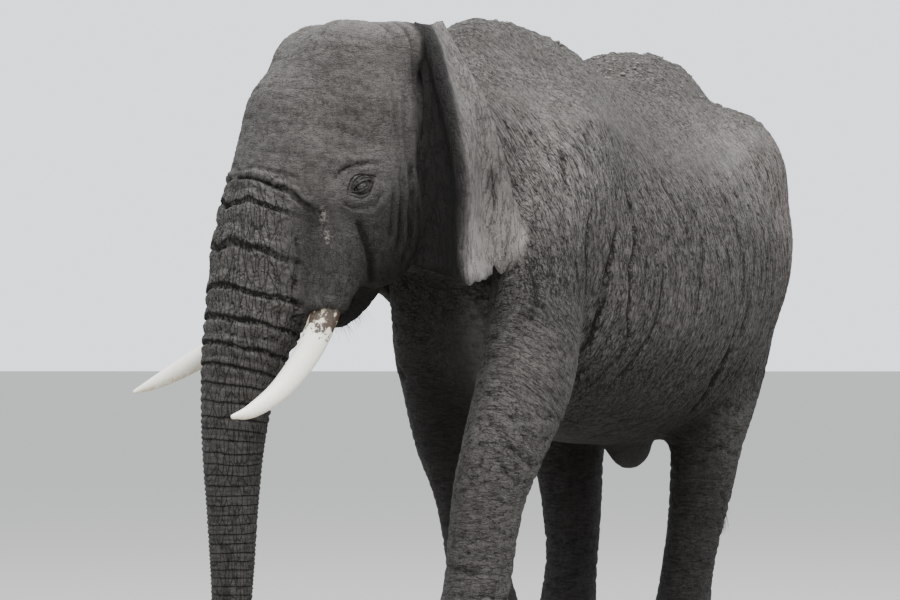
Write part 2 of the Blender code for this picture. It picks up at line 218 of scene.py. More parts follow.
def set_points(mesh: Mesh, points: Points) -> None:
    """Moves a mesh's vertices to one row of x, y and z each."""
    mesh.vertices.foreach_set("co", points.astype(np.float32).ravel())
    mesh.update()


def set_layer(mesh: Mesh, name: str, values: Points) -> None:
    """Stores a number or a vector for each vertex, for the materials to read."""
    kind, key = ("FLOAT", "value") if values.ndim == 1 else ("FLOAT_VECTOR", "vector")
    mesh.attributes.new(name, kind, "POINT").data.foreach_set(key, values.astype(np.float32).ravel())


def ramp(value: Points, low: float, high: float) -> Points:
    """Rises smoothly from 0 at low to 1 at high."""
    t = np.clip((np.asarray(value, float) - low) / (high - low), 0.0, 1.0)
    return t * t * (3 - 2 * t)


def fall(value: Points, low: float, high: float) -> Points:
    """Falls smoothly from 1 at low to 0 at high."""
    return 1 - ramp(value, low, high)


def bell(value: Points, middle: float, spread: float) -> Points:
    """Bell curve of height 1, which falls to about a third at the spread."""
    return np.exp(-(((value - middle) / spread) ** 2))


def blob(points: Points, centre: Spot, reach: Spot) -> Points:
    """Soft spot of height 1 about a centre, with its own reach on each axis."""
    return np.exp(-(((points - np.array(centre)) / np.array(reach)) ** 2).sum(axis=1))


def on_side(side: int, rows: Sequence[Sequence[float]]) -> list[tuple[float, ...]]:
    """Rows whose x is put on one side of the animal, where side is its sign."""
    return [(side * x, *rest) for x, *rest in rows]


def curve_through(rows: Sequence[Sequence[float]], steps: int) -> Points:
    """Fills a smooth curve through rows of numbers.

    Args:
        rows: the rows to pass through.
        steps: how many points each span gets.

    Returns:
        The filled rows.
    """
    rows = np.array(rows, float)
    ends = np.vstack([2 * rows[0] - rows[1], rows, 2 * rows[-1] - rows[-2]])
    filled = []
    for a, b, c, d in zip(ends, ends[1:], ends[2:], ends[3:]):
        for step in range(steps):
            t = step / steps
            filled.append(0.5 * (2 * b + (c - a) * t + (2 * a - 5 * b + 4 * c - d) * t**2
                                 + (3 * b - a - 3 * c + d) * t**3))
    filled.append(rows[-1])
    return np.array(filled)


def walk(path: Points) -> Points:
    """Distance along a path at each of its corners."""
    return np.concatenate([[0], np.cumsum(np.linalg.norm(np.diff(path, axis=0), axis=1))])


# ---- irregularity
def scatter(cells: Points, seed: int) -> Points:
    """Turns whole-numbered cells into steady random numbers.

    Args:
        cells: rows of three whole numbers.
        seed: which set of random numbers.

    Returns:
        One number from 0 to 1 for each row.
    """
    c = cells.astype(np.int64)
    mixed = (c[:, 0] * 73856093) ^ (c[:, 1] * 19349663) ^ (c[:, 2] * 83492791)
    mixed = (mixed ^ (seed * 2654435761)) & 0xFFFFFFFF
    for _ in range(2):
        mixed = ((mixed ^ (mixed >> 16)) * 0x45D9F3B) & 0xFFFFFFFF
    return (mixed ^ (mixed >> 16)) / 4294967295.0


def swell(points: Points, size: float | Sequence[float], seed: int, octaves: int = 1) -> Points:
    """Smooth random rise and fall over space.

    Args:
        points: where to read it.
        size: distance between its humps, or one distance for each axis.
        seed: which set of random numbers.
        octaves: how many finer layers are added.

    Returns:
        Numbers from about -1 to 1.
    """
    total, weight, reach = np.zeros(len(points)), 1.0, 0.0
    spot = points / np.asarray(size, float)
    for octave in range(octaves):
        base = np.floor(spot)
        share = spot - base
        share = share * share * (3 - 2 * share)
        for corner in itertools.product((0, 1), repeat=3):
            part = np.prod(np.where(np.array(corner) == 1, share, 1 - share), axis=1)
            total += weight * part * (2 * scatter(base + corner, seed + octave) - 1)
        reach += weight
        weight *= 0.5
        spot = spot * 2.03
    return total / reach


def borders(points: Points, size: float | Sequence[float], seed: int) -> Points:
    """Distance to the border between random cells, which makes cracked patterns.

    Args:
        points: where to read it.
        size: size of the cells, or one size for each axis.
        seed: which set of random numbers.

    Returns:
        0 on a border, rising to about 1 in the middle of a cell.
    """
    spot = points / np.asarray(size, float)
    base = np.floor(spot)
    first, second = np.full(len(spot), 9.0), np.full(len(spot), 9.0)
    for offset in itertools.product((-1, 0, 1), repeat=3):
        cell = base + offset
        seat = cell + np.stack([0.05 + 0.9 * scatter(cell, seed + k) for k in range(3)], axis=1)
        away = np.linalg.norm(spot - seat, axis=1)
        second = np.where(away < first, first, np.minimum(second, away))
        first = np.minimum(first, away)
    return second - first


def off_path(points: Points, path: Points) -> tuple[Points, Points]:
    """Measures how far points are from a path of straight spans.

    Args:
        points: the points.
        path: corners of the path.

    Returns:
        The distance of each point, and how far along the path its nearest spot is.
    """
    best, along, walked = np.full(len(points), 1e9), np.zeros(len(points)), 0.0
    for a, b in zip(path, path[1:]):
        span = b - a
        length = float(np.linalg.norm(span))
        t = np.clip((points - a) @ span / length**2, 0, 1)
        away = np.linalg.norm(points - a - t[:, None] * span, axis=1)
        closer = away < best
        best = np.where(closer, away, best)
        along = np.where(closer, walked + t * length, along)
        walked += length
    return best, along


# ---- anatomy
@dataclass(frozen=True)
class HeadSeat:
    """Where the head is carried. In its frame x is to its left, y to its back, z up."""

    turn: float = math.radians(-29.0)
    pivot: tuple[float, float] = (0.0, -1.2)
    reach: float = 0.76
    eye_height: float = 2.3

    def matrix(self) -> Matrix:
        """Seats the head on the neck.

        Returns:
            Matrix from the head's frame to the body's.
        """
        ahead = Vector((math.sin(self.turn), -math.cos(self.turn), 0.0))
        seat = Vector((*self.pivot, self.eye_height)) + ahead * self.reach
        return Matrix.Translation(seat) @ Matrix.Rotation(self.turn, 4, "Z")


HEAD = HeadSeat().matrix()
HEAD_TURN = np.array(HEAD)[:3, :3]
TO_HEAD = np.array(HEAD.inverted())


def in_head(points: Points) -> Points:
    """Body points in the head's frame."""
    return points @ TO_HEAD[:3, :3].T + TO_HEAD[:3, 3]


@dataclass(frozen=True)
class Leg:
    """How one leg stands: the y of its joints from top to foot, and its distance from the middle."""

    name: str
    side: Side
    top: float
    mid: float
    low: float
    foot: float
    spread: float

    @property
    def fore(self) -> bool:
        """True for a fore leg."""
        return self.name.startswith("fore")


LEGS = (
    Leg("fore_left", Side.LEFT, -0.86, -1.2, -1.42, -1.5, 0.25),
    Leg("fore_right", Side.RIGHT, -0.7, -0.59, -0.44, -0.32, 0.25),
    Leg("hind_left", Side.LEFT, 1.02, 0.96, 0.98, 0.9, 0.25),
    Leg("hind_right", Side.RIGHT, 0.98, 0.74, 0.72, 0.58, 0.27),
)


class Section(NamedTuple):
    """A rounded cross section of a limb."""

    x: float
    y: float
    z: float
    wide: float
    deep: float
    taper: float = 0.0


@dataclass(frozen=True)
class Ball:
    """A rounded mass of muscle or bone."""

    name: str
    centre: Spot
    radii: Spot

    def build(self) -> Item:
        """The mass as a sphere, stretched to its radii.

        Returns:
            The new object.
        """
        item = primitive(self.name, bpy.ops.mesh.primitive_uv_sphere_add, segments=28, ring_count=14,
                         radius=1.0)
        item.data.transform(Matrix.Translation(self.centre) @ Matrix.Diagonal((*self.radii, 1.0)))
        return item


@dataclass(frozen=True)
class Limb:
    """A mass skinned through rounded sections, with domed ends; rows are the sections' numbers."""

    name: str
    rows: Sequence[Sequence[float]]
    around: int = 28
    steps: int = 4
    domes: tuple[bool, bool] = (True, True)
    bulge: float = 0.8
    dome_angles: tuple[float, ...] = (72, 52, 32, 14)

    def path(self, steps: int) -> Points:
        """Its sections, filled smoothly with the given number of steps to a span."""
        return curve_through([Section(*row) for row in self.rows], steps)

    def _ring(self, row: Points, heading: Points, share: float = 1.0, ahead: float = 0.0) -> Points:
        """Points of one section.

        Args:
            row: x, y, z, half width, half depth and taper.
            heading: direction of the limb there.
            share: size of the ring, as a share of the section's.
            ahead: distance along the heading.

        Returns:
            The points.
        """
        across = np.array((1.0, 0.0, 0.0)) - heading * heading[0]
        across /= np.linalg.norm(across)
        depthwise = np.cross(across, heading)
        turn = np.linspace(0, 2 * math.pi, self.around, endpoint=False)
        half_wide, half_deep, taper = row[3:]
        wide = half_wide * share * np.sin(turn) * (1 - taper * np.cos(turn))
        deep = half_deep * share * np.cos(turn)
        return row[:3] + heading * ahead + wide[:, None] * across + deep[:, None] * depthwise

    def build(self) -> Item:
        """The limb as a closed mesh.

        Returns:
            The new object.
        """
        path = self.path(self.steps)
        heading = np.gradient(path[:, :3], axis=0)
        heading /= np.linalg.norm(heading, axis=1)[:, None]
        rings = [self._ring(row, way) for row, way in zip(path, heading)]
        for end, outward in ((0, -1), (-1, 1)):
            if self.domes[end]:
                reach = self.bulge * min(path[end][3], path[end][4]) * outward
                cap = [self._ring(path[end], heading[end], math.sin(math.radians(angle)),
                                  reach * math.cos(math.radians(angle))) for angle in self.dome_angles]
                rings = cap[::-1] + rings if outward < 0 else rings + cap
        n, faces = self.around, []
        for ring, k in itertools.product(range(len(rings) - 1), range(n)):
            a, b = ring * n + k, ring * n + (k + 1) % n
            faces.append((a, b, b + n, a + n))
        faces += [range(n), range((len(rings) - 1) * n, len(rings) * n)]
        return mesh_object(self.name, np.vstack(rings), faces)


@dataclass
class Flesh:
    """The whole animal without ears, melted from its masses."""

    withers: float = 3.18
    belly: float = 1.12
    rump: float = 1.62
    elbow: float = 1.5
    knee: float = 1.38
    tail_end: float = 0.96
    coarse: float = 0.034
    fine: float = 0.024

    def torso(self) -> list[Limb | Ball]:
        """Chest, ribs, belly, hips and spine.

        Returns:
            The masses.
        """
        stations = (
            (-1.14, 2.5, 1.9, 0.22, 0.0), (-1.04, 2.82, 1.62, 0.34, 0.05),
            (-0.86, 3.07, 1.4, 0.46, 0.1), (-0.58, self.withers, 1.26, 0.6, 0.14),
            (-0.15, 3.04, 1.17, 0.72, 0.16), (0.25, 3.01, self.belly, 0.79, 0.13),
            (0.65, 3.08, self.belly - 0.01, 0.81, 0.08), (0.95, 3.06, 1.18, 0.79, 0.03),
            (1.22, 2.96, 1.34, 0.76, 0.0), (1.42, 2.78, 1.5, 0.68, 0.0),
            (self.rump - 0.08, 2.56, 1.68, 0.52, 0.0))
        rows = [(0, y, (top + low) / 2, wide, (top - low) / 2, taper)
                for y, top, low, wide, taper in stations]
        masses = [Limb("torso", rows, around=48, bulge=0.3),
                  Ball("withers", (0, -0.74, 3.0), (0.22, 0.56, 0.19)),
                  Ball("sacrum", (0, 0.77, 2.93), (0.4, 0.5, 0.25)),
                  Ball("sheath", (0, 0.8, 1.105), (0.08, 0.24, 0.14))]
        for side in (1, -1):
            masses.append(Ball("hip", (side * 0.45, 1.02, 2.49), (0.32, 0.48, 0.4)))
            masses.append(Ball("shoulder", (side * 0.42, -0.72, 2.35), (0.19, 0.4, 0.5)))
        return masses

    def leg(self, leg: Leg) -> Limb:
        """One leg as a column that reaches below the ground, which trims it flat.

        Args:
            leg: how it stands.

        Returns:
            The mass.
        """
        top, mid, low, foot, spread = leg.top, leg.mid, leg.low, leg.foot, leg.spread
        if leg.fore:
            rows = ((0.34, top, 2.55, 0.13, 0.27), (0.38, top + 0.25 * (mid - top), 2.2, 0.17, 0.33),
                    (0.39, top + 0.6 * (mid - top), 1.85, 0.19, 0.33),
                    (0.38, mid + 0.05, self.elbow, 0.2, 0.31),
                    (0.35, mid + 0.45 * (low - mid), 1.2, 0.19, 0.235),
                    (0.295, mid + 0.85 * (low - mid), 0.9, 0.167, 0.182),
                    (spread + 0.02, low + 0.3 * (foot - low), 0.52, 0.156, 0.162),
                    (spread, low + 0.9 * (foot - low), 0.27, 0.172, 0.182),
                    (spread, foot - 0.01, 0.1, 0.202, 0.218), (spread, foot - 0.012, -0.08, 0.205, 0.222))
        else:
            rows = ((0.34, top - 0.03, 2.45, 0.2, 0.36), (0.41, top + 0.04, 2.05, 0.27, 0.48),
                    (0.41, top + 0.45 * (mid - top) + 0.04, 1.72, 0.26, 0.45),
                    (0.38, mid + 0.06, self.knee, 0.225, 0.35),
                    (0.35, mid + 0.3 * (low - mid) + 0.04, 1.12, 0.185, 0.255),
                    (0.315, mid + 0.75 * (low - mid) + 0.02, 0.82, 0.162, 0.19),
                    (spread + 0.02, low + 0.15 * (foot - low), 0.52, 0.142, 0.155),
                    (spread, foot + 0.03, 0.27, 0.152, 0.165),
                    (spread, foot, 0.1, 0.18, 0.198), (spread, foot - 0.01, -0.08, 0.183, 0.202))
        return Limb(leg.name, on_side(leg.side.value, rows), around=24, domes=(True, False))

    def tail(self) -> Limb:
        """Root and whip of the tail.

        Returns:
            The mass.
        """
        rows = ((0, 1.4, 2.66, 0.11, 0.12), (0, self.rump - 0.06, 2.48, 0.085, 0.08),
                (0.01, self.rump + 0.06, 2.16, 0.056, 0.054), (0.04, self.rump + 0.1, 1.72, 0.043, 0.043),
                (0.08, self.rump + 0.11, 1.3, 0.037, 0.037),
                (0.12, self.rump + 0.12, self.tail_end - 0.05, 0.034, 0.032))
        return Limb("tail", rows, around=16)

    def neck(self) -> Limb:
        """Thick short neck from the shoulders to the back of the skull.

        Returns:
            The mass.
        """
        nape = HEAD @ Vector((0.0, 0.42, 0.14))
        rows = ((0, -0.62, 2.42, 0.48, 0.58, 0.1), (0, -1.0, 2.46, 0.43, 0.54, 0.1),
                (*nape, 0.38, 0.5, 0.05))
        return Limb("neck", rows, around=36)

    def skull(self) -> list[Limb | Ball]:
        """Skull, cheeks and the bulges that hold the tusks, in the head's frame.

        Returns:
            The masses.
        """
        jaw = ((0, 0.4, -0.12, 0.23, 0.2), (0, 0.32, -0.26, 0.215, 0.135),
               (0, 0.24, -0.385, 0.185, 0.125), (0, 0.15, -0.48, 0.145, 0.13),
               (0, 0.03, -0.565, 0.09, 0.07), (0, -0.05, -0.605, 0.05, 0.04))
        masses = [Ball("cranium", (0, 0.2, 0.34), (0.375, 0.42, 0.42)),
                  Ball("forehead", (0, -0.02, 0.3), (0.3, 0.28, 0.3)),
                  Ball("brow", (0, -0.05, 0.12), (0.335, 0.28, 0.34)),
                  Limb("jaw", jaw, around=24)]
        socket = ((0.24, 0.025, -0.1, 0.13, 0.15), (0.265, -0.015, -0.3, 0.14, 0.155),
                  (0.288, -0.06, -0.44, 0.125, 0.13), (0.298, -0.085, -0.51, 0.095, 0.098))
        for s in (1, -1):
            masses += [Ball("dome", (s * 0.12, 0.15, 0.56), (0.2, 0.27, 0.235)),
                       Ball("ear_base", (s * 0.22, 0.36, 0.64), (0.15, 0.2, 0.15)),
                       Ball("cheek", (s * 0.25, 0.21, -0.06), (0.16, 0.27, 0.38)),
                       Ball("zygoma", (s * 0.27, 0.06, -0.06), (0.1, 0.2, 0.12)),
                       Limb("socket", on_side(s, socket), around=20)]
        return masses

    @staticmethod
    def melt(name: str, items: Sequence[Item], voxel: float, rounds: int,
             low: float = 0.0, high: float = 0.0, least: float = 1.0) -> Item:
        """Unites overlapping masses and rounds the valleys between them.

        Args:
            name: name of the result.
            items: the masses.
            voxel: grain of the result.
            rounds: how often it is smoothed.
            low: height below which it is smoothed least.
            high: height above which it is smoothed fully.
            least: share of the smoothing below low.

        Returns:
            The melted object.
        """
        item = joined(name, items)
        apply_modifier(item, "REMESH", mode="VOXEL", voxel_size=voxel)
        if least < 1.0:
            weights = least + (1 - least) * ramp(get_points(item.data)[:, 2], low, high)
            soften(item, rounds, weights)
            return item
        return apply_modifier(item, "SMOOTH", factor=0.5, iterations=rounds)

    def build(self) -> Item:
        """Melts all masses into one body.

        Returns:
            The body, still reaching below the ground.
        """
        body = [mass.build() for mass in [*self.torso(), self.neck(), *[self.leg(leg) for leg in LEGS]]]
        body = self.melt("body", body, self.coarse, 45, 1.15, 1.9, 0.1)
        head = [mass.build() for mass in [*self.skull(), TRUNK]]
        for mass in head:
            mass.data.transform(HEAD)
        head = self.melt("head", head, self.fine, 34, 1.9, 2.3, 0.15)
        return self.melt("skin", [body, head, self.tail().build()], self.fine, 10)


TRUNK = Limb("trunk", tuple((0, *row) for row in (
    (0.0, 0.1, 0.31, 0.34), (-0.1, -0.1, 0.295, 0.31), (-0.19, -0.32, 0.26, 0.28),
    (-0.27, -0.55, 0.22, 0.225), (-0.34, -0.8, 0.18, 0.178), (-0.375, -1.1, 0.146, 0.145),
    (-0.38, -1.4, 0.12, 0.12), (-0.38, -1.7, 0.1, 0.102), (-0.39, -1.92, 0.088, 0.09),
    (-0.425, -2.08, 0.076, 0.078), (-0.475, -2.165, 0.068, 0.068))), around=28)


def soften(item: Item, rounds: int, weights: Points) -> None:
    """Smooths an object by a weight for each vertex.

    Args:
        item: the object.
        rounds: how often it is smoothed.
        weights: from 0 to 1.
    """
    group = item.vertex_groups.new(name="soft")
    steps = np.round(weights * 50).astype(int)
    for step in np.unique(steps):
        if step > 0:
            group.add(np.flatnonzero(steps == step).tolist(), step / 50, "REPLACE")
    apply_modifier(item, "SMOOTH", factor=0.5, iterations=rounds, vertex_group="soft")
    item.vertex_groups.clear()


@dataclass
class Ear:
    """One ear: a front panel that leaves the head, a ridge, and a panel that trails back.

    front and back give the length of the two panels from the top down; fold and trail
    are their directions in the head's frame.
    """

    side: Side
    fold: Spot
    trail: Spot
    front: Callable[[float], float]
    back: Callable[[float], float]
    down: int = 84
    across: int = 72
    root_thick: float = 0.013
    rim_thick: float = 0.006
    roll: float = 0.024
    bowl: float = 0.055

    def _spot(self, u: float, v: float) -> Points:
        """A point of the ear's middle surface.

        Args:
            u: from the root, 0, to the margin, 1.
            v: from the top, 0, down to 1.

        Returns:
            Its place in the head's frame.
        """
        root = np.array((self.side.value * (0.265 + 0.1 * math.sin(math.pi * min(1.1 * v, 1.0))),
                         0.4 - 0.06 * v, 0.78 - 1.1 * v))
        bend = 0.05 + 0.04 * math.sin(math.pi * v)
        front = self.front(v)
        reach, count = u * (front + self.back(v)), 16
        turned = ramp(reach * (np.arange(count) + 0.5) / count, front - bend, front + bend)[:, None]
        out = np.array(self.fold)
        path = out * (1 - turned) + np.array(self.trail) * turned
        flare = 0.1 * v * ramp(u, 0.72, 1.0) - 0.035 * v * math.sin(math.pi * ramp(u, 0.5, 0.95))
        ripple = 0.01 * math.sin(11 * v + 4 * u) * u
        bowl = self.bowl * min(2 * v, 1.0) * math.sin(math.pi * min(reach / front, 1.0))
        behind = self.side.value * np.array((-self.fold[1], self.fold[0], 0.0))
        return root + path.sum(axis=0) * reach / count + out * (flare + ripple) + behind * bowl

    def build(self) -> Item:
        """The ear as a closed sheet with a torn lower margin.

        Returns:
            The sheet, in the body's frame.
        """
        n, rows = self.across, self.down
        grid = np.array([[self._spot(j / (n - 1) * (1 - self._tear(i / (rows - 1))),
                                     i / (rows - 1) * (1 - self._frayed(j / (n - 1))))
                          for j in range(n)] for i in range(rows)])
        normal = np.cross(np.gradient(grid, axis=1), np.gradient(grid, axis=0))
        normal /= np.linalg.norm(normal, axis=2)[..., None]
        shares, falls = np.linspace(0, 1, n), np.linspace(0, 1, rows)
        front = np.array([self.front(v) for v in falls])[:, None]
        whole = front + np.array([self.back(v) for v in falls])[:, None]
        rolled = bell(shares[None, :] * whole, front, 0.06) * (1 - 0.9 * falls[:, None] ** 1.5)
        thick = self.root_thick + (self.rim_thick - self.root_thick) * shares[None, :, None]
        thick = thick + self.roll * rolled[..., None]
        edge = np.minimum(np.linspace(1, 0, n)[None, :] * 12, 1)
        ends = np.minimum(np.arange(rows) / 9 + 0.03, np.arange(rows)[::-1] / 4 + 0.12)
        ends = np.clip(ends, 0, 1)[:, None]
        thick = thick * (np.sqrt(np.clip(edge, 0.08, 1)) * np.sqrt(ends))[..., None]
        points = np.vstack([(grid + normal * thick).reshape(-1, 3), (grid - normal * thick).reshape(-1, 3)])
        count, faces = rows * n, []
        for i, j in itertools.product(range(rows - 1), range(n - 1)):
            a, b = i * n + j, (i + 1) * n + j
            faces += [(a, b, b + 1, a + 1), (count + a, count + a + 1, count + b + 1, count + b)]
        rim = [i * n for i in range(rows)] + [(rows - 1) * n + j for j in range(1, n)]
        rim += [i * n + n - 1 for i in range(rows - 2, -1, -1)] + list(range(n - 2, 0, -1))
        faces += [(a, b, count + b, count + a) for a, b in zip(rim, rim[1:] + rim[:1])]
        item = mesh_object(f"ear_{self.side.name.lower()}", points, faces)
        item.data.transform(HEAD)
        return item

    @classmethod
    def place_of(cls, face: int) -> tuple[float, float]:
        """Reads from a face's number where on its ear it lies.

        Args:
            face: number of the face among the faces of both ears.

        Returns:
            Shares of the way from root to margin and from top to bottom.
        """
        rows, columns = cls.down - 1, cls.across - 1
        sheets = 2 * rows * columns
        number = face % (sheets + 2 * (rows + columns))
        step = number - sheets
        if step < 0:
            return (number // 2 % columns) / columns, number // 2 // columns / rows
        if step < rows:
            return 0.0, step / rows
        if step < rows + columns:
            return (step - rows) / columns, 1.0
        step -= rows + columns
        return (1.0, 1 - step / rows) if step < rows else (1 - (step - rows) / columns, 0.0)

    def _frayed(self, u: float) -> float:
        """How far the lower edge is frayed away.

        Args:
            u: from the root, 0, to the margin, 1.

        Returns:
            Share of the ear's height that is missing there.
        """
        if self.side is Side.RIGHT:
            return 0.055 * float(ramp(u, 0.3, 0.6))
        slit = 0.045 * math.exp(-(((u - 0.77) / 0.016) ** 2)) + 0.075 * float(ramp(u, 0.8, 0.88))
        return slit + 0.007 * (1 + math.sin(41 * u) * math.sin(17 * u)) * float(ramp(u, 0.05, 0.35))

    def _tear(self, v: float) -> float:
        """Share of the ear's length that nicks take from its margin at v."""
        nicks = sum(depth * math.exp(-(((v - spot) / width) ** 2))
                    for spot, width, depth in ((0.88, 0.012, 0.02), (0.62, 0.008, 0.018)))
        return nicks + 0.006 * math.sin(37 * v) * math.sin(11 * v)


EARS = (
    Ear(Side.LEFT, (0.91, 0.4, -0.32), (-0.5, 0.85, 0.14),
        lambda v: 0.05 + 0.3 * v, lambda v: 0.21 + 0.32 * v),
    Ear(Side.RIGHT, (-0.88, 0.47, -0.22), (-0.4, 0.88, -0.26),
        lambda v: 0.06 + 0.34 * v, lambda v: 0.22 + 0.36 * math.sin(0.6 * math.pi * v)),
)


# ---- skin relief
@dataclass(frozen=True)
class Fold:
    """A crease along a path on both sides of the animal, with the skin beside it swollen."""

    path: tuple[Spot, ...]
    width: float
    depth: float


@dataclass(frozen=True)
class Form:
    """A soft hump or hollow of the face: its centre, its reach on each axis and its height."""

    centre: Spot
    reach: Spot
    height: float
    mirrored: bool = True


FACE_FOLDS = (
    Fold(((0.0, -0.375, 0.05), (0.156, -0.32, 0.026), (0.246, -0.244, -0.012), (0.285, -0.181, -0.077),
          (0.323, -0.142, -0.13)), 0.014, 0.022),
    Fold(((0.272, -0.2, -0.2), (0.269, -0.206, -0.336), (0.24, -0.21, -0.449), (0.219, -0.198, -0.541),
          (0.19, -0.185, -0.61)), 0.02, 0.008),
    Fold(((0.386, 0.16, 0.11), (0.372, 0.07, 0.105), (0.345, -0.01, 0.085), (0.325, -0.07, 0.02)),
         0.014, 0.012),
    Fold(((0.38, 0.165, 0.0), (0.372, 0.11, -0.068), (0.352, 0.03, -0.09), (0.335, -0.04, -0.06)),
         0.014, 0.014),
    Fold(((0.375, 0.19, -0.04), (0.37, 0.12, -0.12), (0.355, 0.04, -0.145)), 0.012, 0.009),
    Fold(((0.365, 0.02, -0.12), (0.378, 0.085, -0.24), (0.35, 0.13, -0.34), (0.27, 0.165, -0.43)),
         0.034, 0.014),
    Fold(((0.38, 0.3, 0.45), (0.4, 0.31, 0.15), (0.405, 0.31, -0.1), (0.36, 0.3, -0.33)), 0.022, 0.022),
    Fold(((0.37, 0.23, 0.46), (0.4, 0.255, 0.2), (0.4, 0.25, -0.05), (0.365, 0.235, -0.3)),
         0.018, 0.016),
    Fold(((0.395, 0.2, 0.02), (0.392, 0.2, -0.12), (0.375, 0.185, -0.26)), 0.014, 0.011),
    Fold(((0.06, -0.06, -0.545), (0.15, -0.02, -0.53), (0.2, 0.06, -0.49), (0.215, 0.16, -0.43),
          (0.2, 0.24, -0.38)), 0.016, 0.02),
)

BODY_FOLDS = (
    Fold(((0.59, -0.64, 2.2), (0.573, -0.68, 2.009), (0.55, -0.69, 1.83), (0.491, -0.717, 1.641),
          (0.46, -0.82, 1.44)), 0.024, 0.022),
    Fold(((0.597, -0.539, 2.4), (0.624, -0.508, 2.166), (0.628, -0.55, 1.974), (0.612, -0.541, 1.785),
          (0.579, -0.48, 1.595)), 0.016, 0.013),
    Fold(((0.66, -0.36, 2.3), (0.69, -0.38, 1.9), (0.62, -0.52, 1.5)), 0.016, 0.01),
    Fold(((0.76, 0.42, 1.75), (0.66, 0.4, 1.45), (0.48, 0.46, 1.24)), 0.026, 0.02),
    Fold(((0.74, 0.56, 1.8), (0.64, 0.52, 1.48), (0.46, 0.54, 1.26)), 0.018, 0.012),
    Fold(((0.47, -1.02, 2.55), (0.5, -1.05, 2.2), (0.46, -1.06, 1.9)), 0.02, 0.012),
    Fold(((0.45, -1.2, 2.5), (0.46, -1.22, 2.15), (0.4, -1.2, 1.92)), 0.018, 0.01),
)

FACE_FORMS = (
    Form((0.37, 0.2, 0.22), (0.09, 0.13, 0.15), -0.01),
    Form((0.35, 0.03, 0.13), (0.08, 0.09, 0.04), 0.012),
    Form((0.36, -0.02, -0.13), (0.07, 0.06, 0.06), -0.016),
    Form((0.335, -0.175, -0.58), (0.06, 0.05, 0.06), 0.02),
    Form((0.39, -0.06, -0.33), (0.08, 0.07, 0.16), 0.012),
    Form((0.16, -0.165, -0.665), (0.06, 0.06, 0.035), 0.024),
    Form((0.14, -0.215, -0.775), (0.06, 0.06, 0.032), 0.018),
    Form((0.0, -0.36, 0.18), (0.14, 0.1, 0.1), 0.012, mirrored=False),
    Form((0.0, 0.18, -0.6), (0.1, 0.08, 0.04), 0.01, mirrored=False),
)

RING_HEIGHTS = (-0.037, -0.148, -0.277, -0.441, -0.59, -0.7, -0.8, -0.88, -0.95, -1.02, -1.08, -1.125,
                -1.17, -1.22)


@dataclass
class TrunkLine:
    """Runs along the middle of the trunk and numbers its rings from the face to the tip."""

    last_gap: float = 0.036
    path: Points = field(init=False)
    walked: Points = field(init=False)
    wide: Points = field(init=False)
    ring_at: Points = field(init=False)

    def __post_init__(self) -> None:
        """Lays the path and the distance along it at which each ring lies."""
        rows = TRUNK.path(8)
        self.path, self.wide = rows[:, :3], rows[:, 3]
        self.walked = walk(self.path)
        heights = [0.12, 0.04, *RING_HEIGHTS]
        gap = 0.046
        while heights[-1] > -2.12:
            heights.append(heights[-1] - gap)
            gap = max(self.last_gap, gap * 0.98)
        front = self.path[:, 2] - 0.36 * self.wide
        self.ring_at = np.interp(-np.array(heights), -front, self.walked)

    def locate(self, points: Points) -> tuple[Points, Points, Points]:
        """Finds points along and round the trunk.

        Args:
            points: in the head's frame.

        Returns:
            Distance along the trunk, ring number, and distance from its middle as a share of its width.
        """
        along, best, share = np.zeros(len(points)), np.full(len(points), 9.0), np.full(len(points), 9.0)
        heading = np.gradient(self.path, axis=0)
        heading /= np.linalg.norm(heading, axis=1)[:, None]
        for spot, way, walked, wide in zip(self.path, heading, self.walked, self.wide):
            off = points - spot
            ahead = off @ way
            away = np.linalg.norm(off - ahead[:, None] * way, axis=1)
            score = np.abs(ahead)
            closer = score < best
            best = np.where(closer, score, best)
            along = np.where(closer, walked + ahead, along)
            share = np.where(closer, away / wide, share)
        number = np.interp(along, self.ring_at, np.arange(len(self.ring_at)))
        return along, number, share


TRUNK_LINE = TrunkLine()


